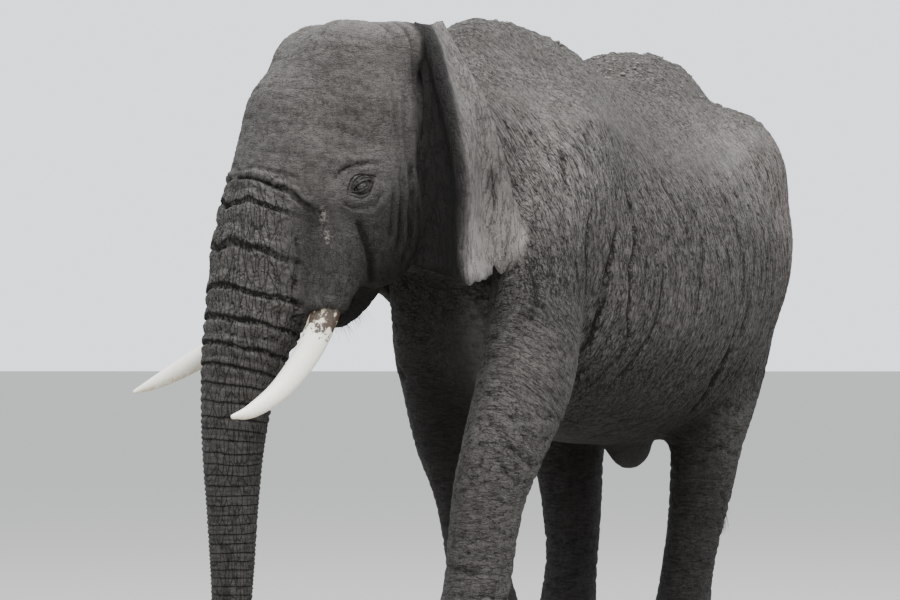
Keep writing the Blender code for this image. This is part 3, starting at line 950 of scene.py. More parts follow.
class Places:
    """Says for every point of the skin which part of the animal it belongs to."""

    def __init__(self, points: Points, normals: Points, ears: BVHTree) -> None:
        """Works out the masks.

        Args:
            points: in the body's frame.
            normals: outward directions.
            ears: the surfaces of both ears.
        """
        self.points, self.normals = points, normals
        self.head_points = in_head(points)
        x, y, z = points.T
        hx, hy, hz = self.head_points.T
        self.along, self.ring, self.share = TRUNK_LINE.locate(self.head_points)
        self.angle = np.arctan2(hx, -(hy + 0.3))
        tube = np.stack([self.angle * 0.8, self.along / 0.25, 0 * z], axis=1)
        self.ring = self.ring + 0.22 * swell(tube, 0.55, 11, 2)
        self.sag = y + 0.45 * (z - 2.0) ** 2
        shoulder = ramp(-y, 0.64, 0.84)
        from_leg = y + 1.15 - 2.2 * ramp(y, -0.6, 0.6)
        self.bent = z + (0.25 + 0.4 * shoulder) * from_leg * ramp(z, 0.9, 1.6)
        reach = 0.09
        self.ear_u, self.ear_v, gap = np.zeros(len(x)), np.zeros(len(x)), np.full(len(x), reach)
        for k in np.flatnonzero((np.abs(hx) > 0.2) & (hy > 0.1) & (hy < 1.3) & (hz > -0.7)):
            _, _, face, away = ears.find_nearest(Vector(points[k]), reach)
            if face is not None:
                gap[k] = away
                self.ear_u[k], self.ear_v[k] = Ear.place_of(face)
        self.ear = fall(gap, 0.004, 0.03)
        face = fall(hy, 0.34, 0.62) * np.where(z > 1.55, 1.0, fall(hy, 0.0, 0.12))
        self.head = face * (1 - self.ear)
        self.trunk = face * fall(hz, -0.02, 0.16) * fall(self.share, 1.15, 1.45)
        self.trunk *= 1 - ramp(np.abs(hx), 0.22, 0.3) * ramp(hz, -0.62, -0.52)
        self.trunk *= 1 - ramp(hy + 0.35 * hz, 0.0, 0.09) * ramp(hz, -0.75, -0.6)
        self.body = 1 - np.maximum(face, self.ear)
        self.legs = self.body * fall(z, 1.15 + 0.5 * shoulder, 1.75 + 0.5 * shoulder) * (1 - bell(x, 0, 0.12))
        self.flank = self.body * ramp(z, 1.15 + 0.4 * shoulder, 1.5 + 0.5 * shoulder)
        self.flank *= fall(normals[:, 2], 0.25, 0.8)
        self.back = self.body * ramp(normals[:, 2], 0.15, 0.75) * ramp(z, 2.3, 2.7)
        self.under = self.body * ramp(-normals[:, 2], 0.2, 0.8) * ramp(z, 0.95, 1.2)
        self.tail = ramp(y, 1.6, 1.68) * fall(z, 2.2, 2.5)
        self.sole = fall(z, 0.004, 0.05)
        self.tube = np.stack([self.angle * 0.3, self.along, 0 * z], axis=1)


def lined(points: Points, across: float, long: float, seed: int, power: float = 3.0) -> Points:
    """Long narrow furrows that run down the first axis of the points.

    Args:
        points: with the furrows' direction on the first axis.
        across: distance between furrows.
        long: their length.
        seed: which set of random numbers.
        power: how narrow they are.

    Returns:
        0 between furrows to 1 at the bottom of one.
    """
    phase = points[:, 1] / across + 1.1 * swell(points, (long, 4 * across, 6 * across), seed, 2)
    shown = ramp(swell(points, (0.7 * long, 1.4 * across, 3 * across), seed + 100), -0.35, 0.3)
    return np.clip(1 - 2 * np.abs(phase - np.round(phase)), 0, 1) ** power * shown


@dataclass
class Relief:
    """Height of the skin's folds and wrinkles, in metres."""

    at: Places
    ring_depth: float = 0.021
    fine_ring_depth: float = 0.007

    @staticmethod
    def over(mask: Points, layer: Callable[[Points], Points]) -> Points:
        """Works out a layer only where its mask lets it show.

        Args:
            mask: share of the layer at each point.
            layer: gives the heights of the points with the given numbers.

        Returns:
            The layer times its mask.
        """
        height, shown = np.zeros(len(mask)), np.flatnonzero(mask > 0.01)
        if len(shown):
            height[shown] = mask[shown] * layer(shown)
        return height

    def folds(self) -> Points:
        """Named creases of the face, shoulder, groin and neck.

        Returns:
            Height for each point.
        """
        height = np.zeros(len(self.at.points))
        for folds, points, facing in ((FACE_FOLDS, self.at.head_points, self.at.normals @ HEAD_TURN),
                                      (BODY_FOLDS, self.at.points, self.at.normals)):
            for fold, side in itertools.product(folds, (1, -1)):
                path = curve_through(on_side(side, fold.path), 4)
                self._press(height, fold, path, points, facing)
        return height * (1 - self.at.ear)

    @staticmethod
    def _press(height: Points, fold: Fold, path: Points, points: Points, facing: Points) -> None:
        """Presses a fold in and swells the skin beside it.

        Args:
            height: of each point, which is changed.
            fold: its width and depth.
            path: its corners.
            points: of the skin, in the same frame as the path.
            facing: their outward directions.
        """
        reach = 0.09
        inside = np.all((points > path.min(axis=0) - reach) & (points < path.max(axis=0) + reach), axis=1)
        where = points[inside]
        where = where + 0.012 * np.stack([swell(where, 0.11, 70 + k) for k in range(3)], axis=1)
        away, along = off_path(where, path)
        nearest = np.stack([np.interp(along, walk(path), part) for part in path.T], axis=1)
        through = ((where - nearest) * facing[inside]).sum(axis=1)
        away = np.sqrt(np.clip(away**2 - 0.9 * np.minimum(through, 0.07) ** 2, 0, None))
        total = np.linalg.norm(np.diff(path, axis=0), axis=1).sum()
        fade = np.minimum(ramp(along, -0.01, 0.06), ramp(total - along, -0.01, 0.06))
        height[inside] -= fold.depth * fade * bell(away, 0, 0.55 * fold.width)
        height[inside] += 0.35 * fold.depth * fade * bell(away, 1.7 * fold.width, 0.9 * fold.width)

    def forms(self) -> Points:
        """Hollows and swellings of the face, and loose skin everywhere.

        Returns:
            Height for each point.
        """
        height = np.zeros(len(self.at.points))
        for form in FACE_FORMS:
            for side in (1, -1) if form.mirrored else (1,):
                height += form.height * blob(self.at.head_points, on_side(side, [form.centre])[0], form.reach)
        loose = swell(self.at.points, 0.34, 5, 2)
        return height * (1 - self.at.ear) + 0.007 * loose * (self.at.flank + 0.6 * self.at.legs)

    def rings(self) -> Points:
        """Rings round the trunk, deep and far apart at the face, shallow and close at the tip."""
        return self.over(self.at.trunk, self._ring_height)

    def _ring_height(self, k: Points) -> Points:
        """The trunk's rings and the blocks between them.

        Args:
            k: numbers of the points.

        Returns:
            Height for each of them.
        """
        p, along, number = self.at.head_points[k], self.at.along[k], self.at.ring[k]
        part = np.abs(number - np.round(number))
        thin = ramp(along, 0.4, 1.5)
        depth = self.ring_depth * (1 - 0.55 * thin) * (0.75 + 0.35 * swell(p, 0.13, 12))
        height = -depth * bell(part, 0, 0.045 + 0.12 * thin) + 0.6 * depth * (1 - (2 * part) ** 2)
        half = np.abs(number + 0.5 + 0.3 * swell(p, 0.1, 13) - np.round(number + 0.5))
        height -= self.fine_ring_depth * bell(half, 0, 0.1) * (0.5 + 0.5 * swell(p, 0.08, 14))
        high = fall(along, 0.75, 1.3)
        tube = np.stack([self.at.angle[k] * 0.3, along * 0.34, number], axis=1)
        bricks = borders(tube + 0.008 * swell(p, 0.06, 15)[:, None], 0.044, 16)
        return height - 0.0075 * fall(bricks, 0.0, 0.26) * high

    def _flank_height(self, k: Points) -> Points:
        """Furrows that hang down the ribs and belly.

        Args:
            k: numbers of the points.

        Returns:
            Height for each of them.
        """
        p = self.at.points[k]
        x, y, z = p.T
        sag = self.at.sag[k] + 0.05 * swell(p, 0.3, 21)
        hang = np.stack([z, sag, x], axis=1)
        loose = 0.35 + 0.65 * bell(p[:, 2], 1.75, 0.55)
        height = -0.013 * loose * lined(hang, 0.12, 0.8, 22, 5.0) - 0.006 * lined(hang, 0.062, 0.34, 23, 4.0)
        net = np.stack([x, sag, z * 0.4], axis=1) + 0.01 * swell(p, 0.07, 20)[:, None]
        return height - 0.003 * fall(borders(net, 0.045, 24), 0.0, 0.3)

    def _leg_height(self, k: Points) -> Points:
        """Furrows across the legs.

        Args:
            k: numbers of the points.

        Returns:
            Height for each of them.
        """
        p = self.at.points[k]
        x, y, z = p.T
        bent = self.at.bent[k] + 0.03 * swell(p, 0.15, 25)
        height = -0.007 * lined(np.stack([y + x, bent, x - y], axis=1), 0.085, 0.3, 26, 4.0)
        net = np.stack([x * 0.55, y * 0.55, bent], axis=1) + 0.008 * swell(p, 0.06, 19)[:, None]
        return height - 0.0035 * fall(borders(net, 0.042, 27), 0.0, 0.3)

    def _crumpled(self, k: Points) -> Points:
        """Irregular cracks that run every way."""
        p = self.at.points[k]
        return -0.005 * fall(borders(p + 0.01 * swell(p, 0.06, 28)[:, None], 0.048, 29), 0.0, 0.28)

    def _head_height(self, k: Points) -> Points:
        """Lines across the forehead, and furrows down the temple before the ear.

        Args:
            k: numbers of the points.

        Returns:
            Height for each of them.
        """
        h = self.at.head_points[k]
        across = np.stack([h[:, 0] * 0.8, h[:, 2] + 0.25 * h[:, 1], h[:, 1]], axis=1)
        temple = np.stack([h[:, 2], h[:, 1] + 0.15 * h[:, 2], h[:, 0]], axis=1)
        side = ramp(h[:, 1], 0.14, 0.26)
        front = -0.004 * lined(across, 0.075, 0.22, 30) + 0.6 * self._crumpled(k)
        return front * (1 - side) - 0.009 * side * lined(temple, 0.06, 0.35, 31)

    def _ear_height(self, k: Points) -> Points:
        """Fine furrows down the ear."""
        h = self.at.head_points[k]
        return -0.003 * lined(np.stack([h[:, 2], h[:, 1] + h[:, 0], h[:, 0]], axis=1), 0.04, 0.3, 32)

    def _clods(self, k: Points) -> Points:
        """Mud dried on the back."""
        return 0.01 * ramp(swell(self.at.points[k], 0.05, 33, 2), 0.15, 0.6)

    def wrinkles(self) -> Points:
        """Wrinkles of each region that follow the way its skin hangs.

        Returns:
            Height for each point.
        """
        at = self.at
        return (self.over(at.flank * (1 - at.back), self._flank_height)
                + self.over(at.legs, self._leg_height)
                + self.over(np.maximum(at.back, 0.6 * at.under), self._crumpled)
                + self.over(at.back * ramp(at.normals[:, 2], 0.55, 0.9), self._clods)
                + self.over(at.head * (1 - at.trunk), self._head_height)
                + self.over(at.ear, self._ear_height))

    def total(self) -> Points:
        """All of the skin's relief, left out of the soles and faint on the tail."""
        quiet = (1 - self.at.sole) * (1 - 0.7 * self.at.tail)
        return (self.folds() + self.forms() + self.rings() + self.wrinkles()) * quiet


# ---- eyes
@dataclass
class EyeSeat:
    """One eye: its ball, and the frame of its slit on the skin."""

    side: Side
    radius: float = 0.03
    seat: Spot = (0.352, 0.07, 0.012)
    slant: float = math.radians(28)
    half_length: float = 0.043
    upper: float = 0.0125
    lower: float = 0.0095
    lines: tuple[tuple[float, ...], ...] = (
        (0.0265, 0.062, 0.004, 0.0032), (0.04, 0.07, 0.01, 0.0028), (0.052, 0.07, -0.004, 0.0026),
        (-0.024, 0.056, -0.006, 0.003), (-0.037, 0.06, 0.004, 0.0028), (-0.05, 0.066, -0.01, 0.0026))

    @property
    def centre(self) -> Points:
        """Middle of the ball in the body's frame."""
        x, y, z = self.seat
        return np.array(HEAD @ Vector((self.side.value * x, y, z)))

    def axes(self) -> Points:
        """Directions along the slit to its back corner, up across it, and outward.

        Returns:
            The three unit vectors as rows.
        """
        out = HEAD_TURN @ np.array((self.side.value * 0.96, -0.27, -0.05))
        out /= np.linalg.norm(out)
        back = HEAD_TURN @ np.array((0.0, math.cos(self.slant), math.sin(self.slant)))
        back -= out * (back @ out)
        back /= np.linalg.norm(back)
        up = np.cross(out, back) * self.side.value
        if up[2] < 0:
            up = -up
        return np.array((back, up, out))

    def near(self, points: Points) -> Points:
        """Points in the slit's frame, measured from the ball's middle."""
        return (points - self.centre) @ self.axes().T

    def _past_slit(self, a: Points, b: Points) -> Points:
        """Measures from the rim of the slit.

        Args:
            a: places along the slit.
            b: places up across it.

        Returns:
            Distance beyond the rim, below 0 inside it.
        """
        arch = np.clip(1 - (a / self.half_length) ** 2, 0, 1)
        over = np.maximum(b - self.upper * arch ** 0.8, -self.lower * arch - b)
        beyond = np.maximum(np.abs(a) - self.half_length, 0)
        return np.where(beyond > 0, np.hypot(np.maximum(over, 0), beyond), over)

    def _lid_lines(self, a: Points, b: Points) -> Points:
        """Wrinkles above and below the slit.

        Args:
            a: places along the slit.
            b: places up across it.

        Returns:
            Their strength, from 0 to 1.
        """
        lines = np.zeros(len(a))
        for height, reach, shift, width in self.lines:
            bow = 1 - ((a - shift) / reach) ** 2
            lines = np.maximum(lines, bell(b, height * bow, width) * ramp(bow, -0.15, 0.35))
        return lines

    def shade(self, points: Points) -> Points:
        """How dark the folds of the lids are.

        Args:
            points: of the skin, in the body's frame.

        Returns:
            0 for plain skin to 1 in a fold.
        """
        a, b, c = self.near(points).T
        over = self._past_slit(a, b)
        dark = np.maximum(fall(over, 0.0, 0.006), 0.75 * self._lid_lines(a, b))
        dark = np.maximum(dark, 0.55 * fall(over, 0.006, 0.05) * ramp(b, -0.02, 0.01))
        return dark * fall(np.hypot(a, b), 0.075, 0.1) * (c > -0.04)

    def shape_lids(self, points: Points) -> Points:
        """Opens the slit and shapes both lids round the ball.

        Args:
            points: of the skin, in the body's frame.

        Returns:
            The moved points.
        """
        a, b, c = self.near(points).T
        close = (np.hypot(a, b) < 0.095) & (c > -0.03)
        a, b, c = a[close], b[close], c[close]
        over = self._past_slit(a, b)
        round_ball = np.sqrt(np.clip(self.radius**2 - 0.6 * a**2 - b**2, 0.0001, None))
        upper = ramp(b, -0.003, 0.004)
        lid = 0.0045 + (0.007 + 0.0045 * upper) * bell(over, 0.01, 0.008)
        lids = round_ball + lid
        pocket = round_ball - 0.012
        goal = np.where(over < 0, pocket + (lids - pocket) * ramp(over, -0.003, 0.0008), lids)
        hold = fall(np.hypot(a, 1.25 * b), 0.036, 0.07)
        shaped = c + (goal - c) * hold - 0.0085 * self._lid_lines(a, b)
        moved = points.copy()
        moved[close] = self.centre + np.stack([a, b, shaped], axis=1) @ self.axes()
        return moved


EYES = tuple(EyeSeat(side) for side in Side)


@dataclass(frozen=True)
class TrunkTip:
    """End of the trunk: a finger before and behind it, and two nostrils between them."""

    middle: Spot = (0.0, -0.475, -2.165)
    way: Spot = (0.0, -0.507, -0.862)

    @property
    def centre(self) -> Points:
        """Middle of the end in the body's frame."""
        return np.array(HEAD @ Vector(self.middle))

    def _near(self, points: Points) -> tuple[Points, Points, Points]:
        """Measures from the trunk's end.

        Args:
            points: in the body's frame.

        Returns:
            Distances past the end, forward of its middle and to the side.
        """
        offset = in_head(points) - np.array(self.middle)
        forward = np.array((0.0, self.way[2], -self.way[1]))
        return offset @ np.array(self.way), offset @ forward, offset[:, 0]

    def nostrils(self, points: Points) -> Points:
        """Strength of the nostrils, from 0 to 1, at points in the body's frame."""
        past, forward, aside = self._near(points)
        return bell(np.abs(aside), 0.021, 0.011) * bell(forward, 0.004, 0.017) * ramp(past, -0.06, -0.02)

    def shape(self, points: Points) -> Points:
        """Draws out the fingers and presses in the nostrils.

        Args:
            points: of the skin, in the body's frame.

        Returns:
            The moved points.
        """
        past, forward, aside = self._near(points)
        push = 0.034 * bell(forward, 0.05, 0.02) * bell(aside, 0, 0.026)
        push += 0.022 * bell(forward, -0.048, 0.02) * bell(aside, 0, 0.03)
        push -= 0.012 * bell(np.hypot(forward, aside), 0, 0.04)
        push = push * ramp(past, -0.055, 0.0) - 0.03 * self.nostrils(points)
        push *= np.hypot(forward, aside) < 0.12
        return points + push[:, None] * (HEAD_TURN @ np.array(self.way))


TIP = TrunkTip()


# ---- shader helpers
class Graph:
    """Short ways of adding nodes to a material or a node group."""

    def __init__(self, tree: Nodes) -> None:
        """Keeps the tree that the nodes go into."""
        self.tree = tree

    def add(self, kind: str, inputs: dict | None = None, **settings: object) -> Node:
        """Adds a node.

        Args:
            kind: its type.
            inputs: numbers or sockets for its inputs, by name or number.
            settings: its properties by name.

        Returns:
            The node.
        """
        node = self.tree.nodes.new(kind)
        for key, value in settings.items():
            setattr(node, key, value)
        return self.feed(node, inputs or {})

    def feed(self, node: Node, inputs: dict) -> Node:
        """Links or sets inputs of a node.

        Args:
            node: the node.
            inputs: numbers or sockets for its inputs, by name or number.

        Returns:
            The same node.
        """
        for key, value in inputs.items():
            if isinstance(value, Socket):
                self.tree.links.new(value, node.inputs[key])
            else:
                node.inputs[key].default_value = value
        return node

    def math(self, operation: str, *values: object) -> Socket:
        """Result of a Math node on numbers or sockets."""
        return self.add("ShaderNodeMath", dict(enumerate(values)), operation=operation).outputs[0]

    def times(self, *values: object) -> Socket:
        """Product of numbers or sockets."""
        return functools.reduce(functools.partial(self.math, "MULTIPLY"), values)

    def plus(self, *values: object) -> Socket:
        """Sum of numbers or sockets."""
        return functools.reduce(functools.partial(self.math, "ADD"), values)

    def less(self, one: object, two: object) -> Socket:
        """One number or socket minus another."""
        return self.math("SUBTRACT", one, two)

    def vector(self, operation: str, *values: object) -> Socket:
        """Result of a Vector Math node on vectors or sockets."""
        return self.add("ShaderNodeVectorMath", dict(enumerate(values)), operation=operation).outputs[0]

    def rise(self, value: object, low: object, high: object, start: float = 0.0, end: float = 1.0) -> Socket:
        """Maps the range from low to high smoothly to the one from start to end."""
        values = dict(enumerate((value, low, high, start, end)))
        return self.add("ShaderNodeMapRange", values, interpolation_type="SMOOTHSTEP").outputs[0]

    def mix(self, share: object, one: object, two: object) -> Socket:
        """Colour between two, where share is 0 for the first and 1 for the second."""
        return self.add("ShaderNodeMix", {0: share, 6: one, 7: two}, data_type="RGBA").outputs[2]

    def noise(self, place: Socket, scale: object, detail: float = 3.0, rough: float = 0.55) -> Socket:
        """Noise from 0 to 1, with scale in humps to a metre and rough for its finer layers."""
        values = {"Vector": place, "Scale": scale, "Detail": detail, "Roughness": rough}
        return self.add("ShaderNodeTexNoise", values).outputs[0]

    def bump(self, height: Socket, strength: float, distance: float) -> Socket:
        """Normal bent by a height."""
        values = {"Strength": strength, "Distance": distance, "Height": height}
        return self.add("ShaderNodeBump", values).outputs[0]

    def stored(self, name: str, output: str = "Fac") -> Socket:
        """A number or vector stored on the mesh."""
        return self.add("ShaderNodeAttribute", attribute_name=name).outputs[output]

    def here(self) -> Socket:
        """Place on the object."""
        return self.add("ShaderNodeTexCoord").outputs["Object"]


def new_group(name: str, output: str, **inputs: object) -> tuple[Graph, bpy.types.NodeOutputs, Node]:
    """Starts a shader node group.

    Args:
        name: its name.
        output: name of the number that it puts out.
        inputs: default of each input by name, with _ for a space; a tuple makes a vector.

    Returns:
        The group's graph, what it is given, and its output node.
    """
    tree = bpy.data.node_groups.new(name, "ShaderNodeTree")
    for label, default in inputs.items():
        kind = "NodeSocketVector" if isinstance(default, tuple) else "NodeSocketFloat"
        slot = tree.interface.new_socket(name=label.replace("_", " "), in_out="INPUT", socket_type=kind)
        slot.default_value = default
    tree.interface.new_socket(name=output, in_out="OUTPUT", socket_type="NodeSocketFloat")
    graph = Graph(tree)
    return graph, graph.add("NodeGroupInput").outputs, graph.add("NodeGroupOutput")


def crack_group() -> Nodes:
    """Height of skin between cracks.

    Returns:
        The group, where Stretch sets the cells to a metre on each axis.
    """
    g, given, end = new_group("skin_cracks", "Height", Place=(0, 0, 0), Stretch=(30, 30, 30), Warp=0.02,
                              Warp_Scale=14.0, Width=0.16)
    wander = g.add("ShaderNodeTexNoise",
                   {"Vector": given["Place"], "Scale": given["Warp Scale"], "Detail": 2.0})
    off = g.vector("SUBTRACT", wander.outputs["Color"], (0.5, 0.5, 0.5))
    scaled = g.add("ShaderNodeVectorMath", {0: off, "Scale": given["Warp"]}, operation="SCALE").outputs[0]
    place = g.vector("MULTIPLY", g.vector("ADD", given["Place"], scaled), given["Stretch"])
    cells = g.add("ShaderNodeTexVoronoi", {"Vector": place, "Scale": 1.0}, feature="DISTANCE_TO_EDGE")
    g.feed(end, {"Height": g.rise(cells.outputs["Distance"], 0.0, given["Width"])})
    return g.tree


def furrow_group() -> Nodes:
    """Height of skin between long wandering furrows.

    Returns:
        The group, where Stretch sets the furrows to a metre on each axis.
    """
    g, given, end = new_group("skin_furrows", "Height", Place=(0, 0, 0), Stretch=(10, 30, 10), Width=0.05)
    wave = g.add("ShaderNodeTexNoise", {"Vector": g.vector("MULTIPLY", given["Place"], given["Stretch"]),
                                        "Scale": 1.0, "Detail": 3.0, "Roughness": 0.55, "Distortion": 0.3})
    off = g.math("ABSOLUTE", g.less(wave.outputs[0], 0.5))
    g.feed(end, {"Height": g.rise(off, 0.0, given["Width"])})
    return g.tree


def dirt_group() -> Nodes:
    """Patchy mask of settled dirt.

    Returns:
        The group, where Amount runs from clean, 0, to covered, 1.
    """
    g, given, end = new_group("settled_dirt", "Mask", Place=(0, 0, 0), Scale=4.0, Amount=0.5)
    low = g.less(0.92, g.times(given["Amount"], 0.7))
    edge = g.less(g.noise(given["Place"], given["Scale"], 6.0, 0.65), low)
    g.feed(end, {"Mask": g.rise(g.times(edge, 5.0), -0.5, 0.5)})
    return g.tree


@dataclass(frozen=True)
class Finishes:
    """Node groups that several finishes share."""

    cracks: Nodes
    furrows: Nodes
    dirt: Nodes


def place_group(g: Graph, tree: Nodes, **values: object) -> Socket:
    """Output of a node group placed in a material, with its inputs by name and _ for a space."""
    node = g.add("ShaderNodeGroup", node_tree=tree)
    return g.feed(node, {label.replace("_", " "): value for label, value in values.items()}).outputs[0]


def new_material(name: str) -> tuple[Material, Graph, Node]:
    """Starts a material.

    Args:
        name: its name.

    Returns:
        The material, its graph and its shader.
    """
    material = bpy.data.materials.new(name)
    material.use_nodes = True
    return material, Graph(material.node_tree), material.node_tree.nodes["Principled BSDF"]


@dataclass(frozen=True)
class HideFinish:
    """Dry slate-grey hide, darker where it is wet, with painted shade in creases, hollows, underneath and on
    the far side, and lighter where mud has dried.
    """

    grey: Colour = (0.09, 0.081, 0.075, 1)
    slate: Colour = (0.064, 0.056, 0.051, 1)
    # dark: wet hide mixed with painted shade, and worn patches on the back
    dark: Colour = (0.0265, 0.0235, 0.0215, 1)
    dust: Colour = (0.168, 0.156, 0.146, 1)
    mud: Colour = (0.11, 0.1, 0.09, 1)
    powder: Colour = (0.276, 0.255, 0.238, 1)
    pink: Colour = (0.28, 0.23, 0.212, 1)
    # near-black used for painted shade in creases and hollows
    painted_shade: Colour = (0.0052, 0.0045, 0.004, 1)
    streak: Colour = (0.26, 0.23, 0.21, 1)

    def build(self, shared: Finishes) -> Material:
        """Makes the material from the shared node groups.

        Args:
            shared: the groups.

        Returns:
            The material.
        """
        material, g, shader = new_material("hide")
        here = g.here()
        mask = {name: g.stored(name) for name in (
            "flank", "legs", "back", "head", "cheek", "trunk", "ear", "damp_and_shade", "pink", "crease", "hollow",
            "dusty", "streaks")}
        lines = self._lines(g, shared, mask)
        plain = g.less(1.0, g.times(g.plus(mask["trunk"], mask["ear"]), 0.75))
        pebbles = g.mix(plain, (0.5, 0.5, 0.5, 1), g.noise(here, 75.0, 5.0, 0.7))
        # painted shade: furrow lines, creases and the low spots between pebbles darken the colour
        crease_shade = g.math("MINIMUM", g.plus(g.times(lines, -0.5), g.times(mask["crease"], 0.8),
                                         g.rise(pebbles, 0.46, 0.3, 0.0, 0.45)), 0.9)
        fine = place_group(g, shared.cracks, Place=here, Stretch=(130, 130, 130), Warp=0.008, Warp_Scale=60.0,
                           Width=0.2)
        grain = g.plus(g.noise(here, 190.0, 2.0), g.times(pebbles, 2.2))
        relief = g.plus(lines, g.times(g.less(fine, 1.0), 0.25), g.times(grain, 0.35))
        rough = g.less(g.less(0.86, g.times(mask["damp_and_shade"], 0.22)), g.times(mask["pink"], 0.2))
        g.feed(shader, {"Base Color": self._colour(g, shared, mask, crease_shade),
                        "Roughness": g.plus(rough, g.times(crease_shade, 0.1)),
                        "Normal": g.bump(relief, 0.9, 0.006), "Specular IOR Level": 0.14})
        return material

    def _colour(self, g: Graph, shared: Finishes, mask: dict[str, Socket], crease_shade: Socket) -> Socket:
        """Lays dust, wet darkening mixed with painted shade, mud, and painted shade in creases and hollows
        over the grey, one after the other.

        Args:
            g: the material's graph.
            shared: node groups.
            mask: what is stored on the skin, by name.
            crease_shade: strength of the painted shade in cracks and folds.

        Returns:
            The colour.
        """
        here = g.here()
        up = g.add("ShaderNodeSeparateXYZ", {0: g.add("ShaderNodeNewGeometry").outputs["Normal"]}).outputs[2]
        settled = g.times(g.rise(up, -0.2, 0.9), g.rise(g.noise(here, 7.0, 6.0, 0.7), 0.38, 0.62))
        dry = g.less(1.0, g.times(mask["damp_and_shade"], 0.8))
        crust = place_group(g, shared.dirt, Place=here, Scale=17.0, Amount=0.55)
        worn = g.rise(g.noise(here, 42.0, 7.0, 0.75), 0.55, 0.38)
        powder = g.times(mask["dusty"], g.rise(g.noise(here, 9.0, 6.0, 0.7), 0.3, 0.62, 0.3, 1.0))
        colour = g.mix(g.rise(g.noise(here, 3.2, 5.0), 0.35, 0.7), self.grey, self.slate)
        for share, coat in (
            (g.times(g.rise(g.noise(here, 26.0, 8.0, 0.75), 0.34, 0.66), 0.7), self.dust),
            # wet darkening of the trunk and face, mixed with painted shade on the lower body, belly, inner
            # legs, ear's front, jaw and far side
            (g.times(mask["damp_and_shade"], 0.85), self.dark),
            (g.times(settled, dry, 0.55), self.dust),
            (g.times(crust, mask["back"], 0.6), self.mud),
            (g.times(worn, mask["back"], 0.65), self.dark),
            (g.times(powder, 0.75), self.powder),
            (g.times(mask["pink"], 0.6), self.pink),
            # painted shade in furrows, creases, lids and nostrils
            (crease_shade, self.painted_shade),
            # painted shade in hollows: the ear's front, lip, throat, nape, groin, under the jaw and the far
            # side, darkened towards black
            (g.times(mask["hollow"], 0.88), self.painted_shade),
            (g.times(mask["streaks"], g.rise(g.noise(here, 60.0, 3.0), 0.42, 0.6)), self.streak),
        ):
            colour = g.mix(share, colour, coat)
        return colour

    @staticmethod
    def _lines(g: Graph, shared: Finishes, mask: dict[str, Socket]) -> Socket:
        """Height of the cracks and furrows of every region.

        Args:
            g: the material's graph.
            shared: node groups.
            mask: what is stored on the skin, by name.

        Returns:
            0 between lines, below 0 in one.
        """
        crack = functools.partial(place_group, g, shared.cracks)
        furrow = functools.partial(place_group, g, shared.furrows)
        here, flow, tube = g.here(), g.stored("flow", "Vector"), g.stored("tube", "Vector")
        number = g.plus(g.stored("ring"), g.times(g.noise(here, 22.0, 3.0), 0.16))
        off_ring = g.math("ABSOLUTE", g.less(number, g.math("ROUND", number)))
        layers = (
            ("flank", 0.55, furrow(Place=flow, Stretch=(10, 34, 7), Width=0.045)),
            ("flank", 0.9, furrow(Place=flow, Stretch=(14, 52, 11), Width=0.07)),
            ("flank", 0.6, crack(Place=flow, Stretch=(34, 62, 26))),
            ("flank", 0.4, crack(Place=flow, Stretch=(80, 130, 70))),
            ("legs", 0.7, furrow(Place=flow, Stretch=(8, 8, 36))),
            ("legs", 0.6, furrow(Place=flow, Stretch=(14, 14, 60), Width=0.06)),
            ("legs", 0.35, crack(Place=flow, Stretch=(38, 38, 72))),
            ("legs", 0.4, crack(Place=flow, Stretch=(70, 70, 120))),
            ("back", 0.45, crack(Place=here, Stretch=(36, 36, 36))),
            ("back", 0.9, furrow(Place=flow, Stretch=(26, 46, 14), Width=0.065)),
            ("back", 0.5, crack(Place=here, Stretch=(90, 90, 90))),
            ("head", 0.3, crack(Place=here, Stretch=(34, 34, 58))),
            ("head", 0.4, furrow(Place=here, Stretch=(12, 12, 40), Width=0.045)),
            ("head", 0.35, crack(Place=here, Stretch=(85, 85, 120))),
            ("cheek", 0.6, furrow(Place=here, Stretch=(34, 34, 8), Width=0.045)),
            ("trunk", 1.1, crack(Place=tube, Stretch=(31, 11, 1), Warp_Scale=9.0, Width=0.09)),
            ("trunk", 0.35, crack(Place=tube, Stretch=(95, 60, 1))),
            ("trunk", 0.35, furrow(Place=tube, Stretch=(10, 60, 1))),
            ("trunk", 1.5, g.rise(off_ring, 0.0, 0.085)),
            ("ear", 0.8, furrow(Place=here, Stretch=(34, 34, 8))),
            ("ear", 0.3, crack(Place=here, Stretch=(90, 90, 50))),
        )
        return g.plus(*(g.times(g.less(layer, 1.0), weight, mask[region])
                        for region, weight, layer in layers))


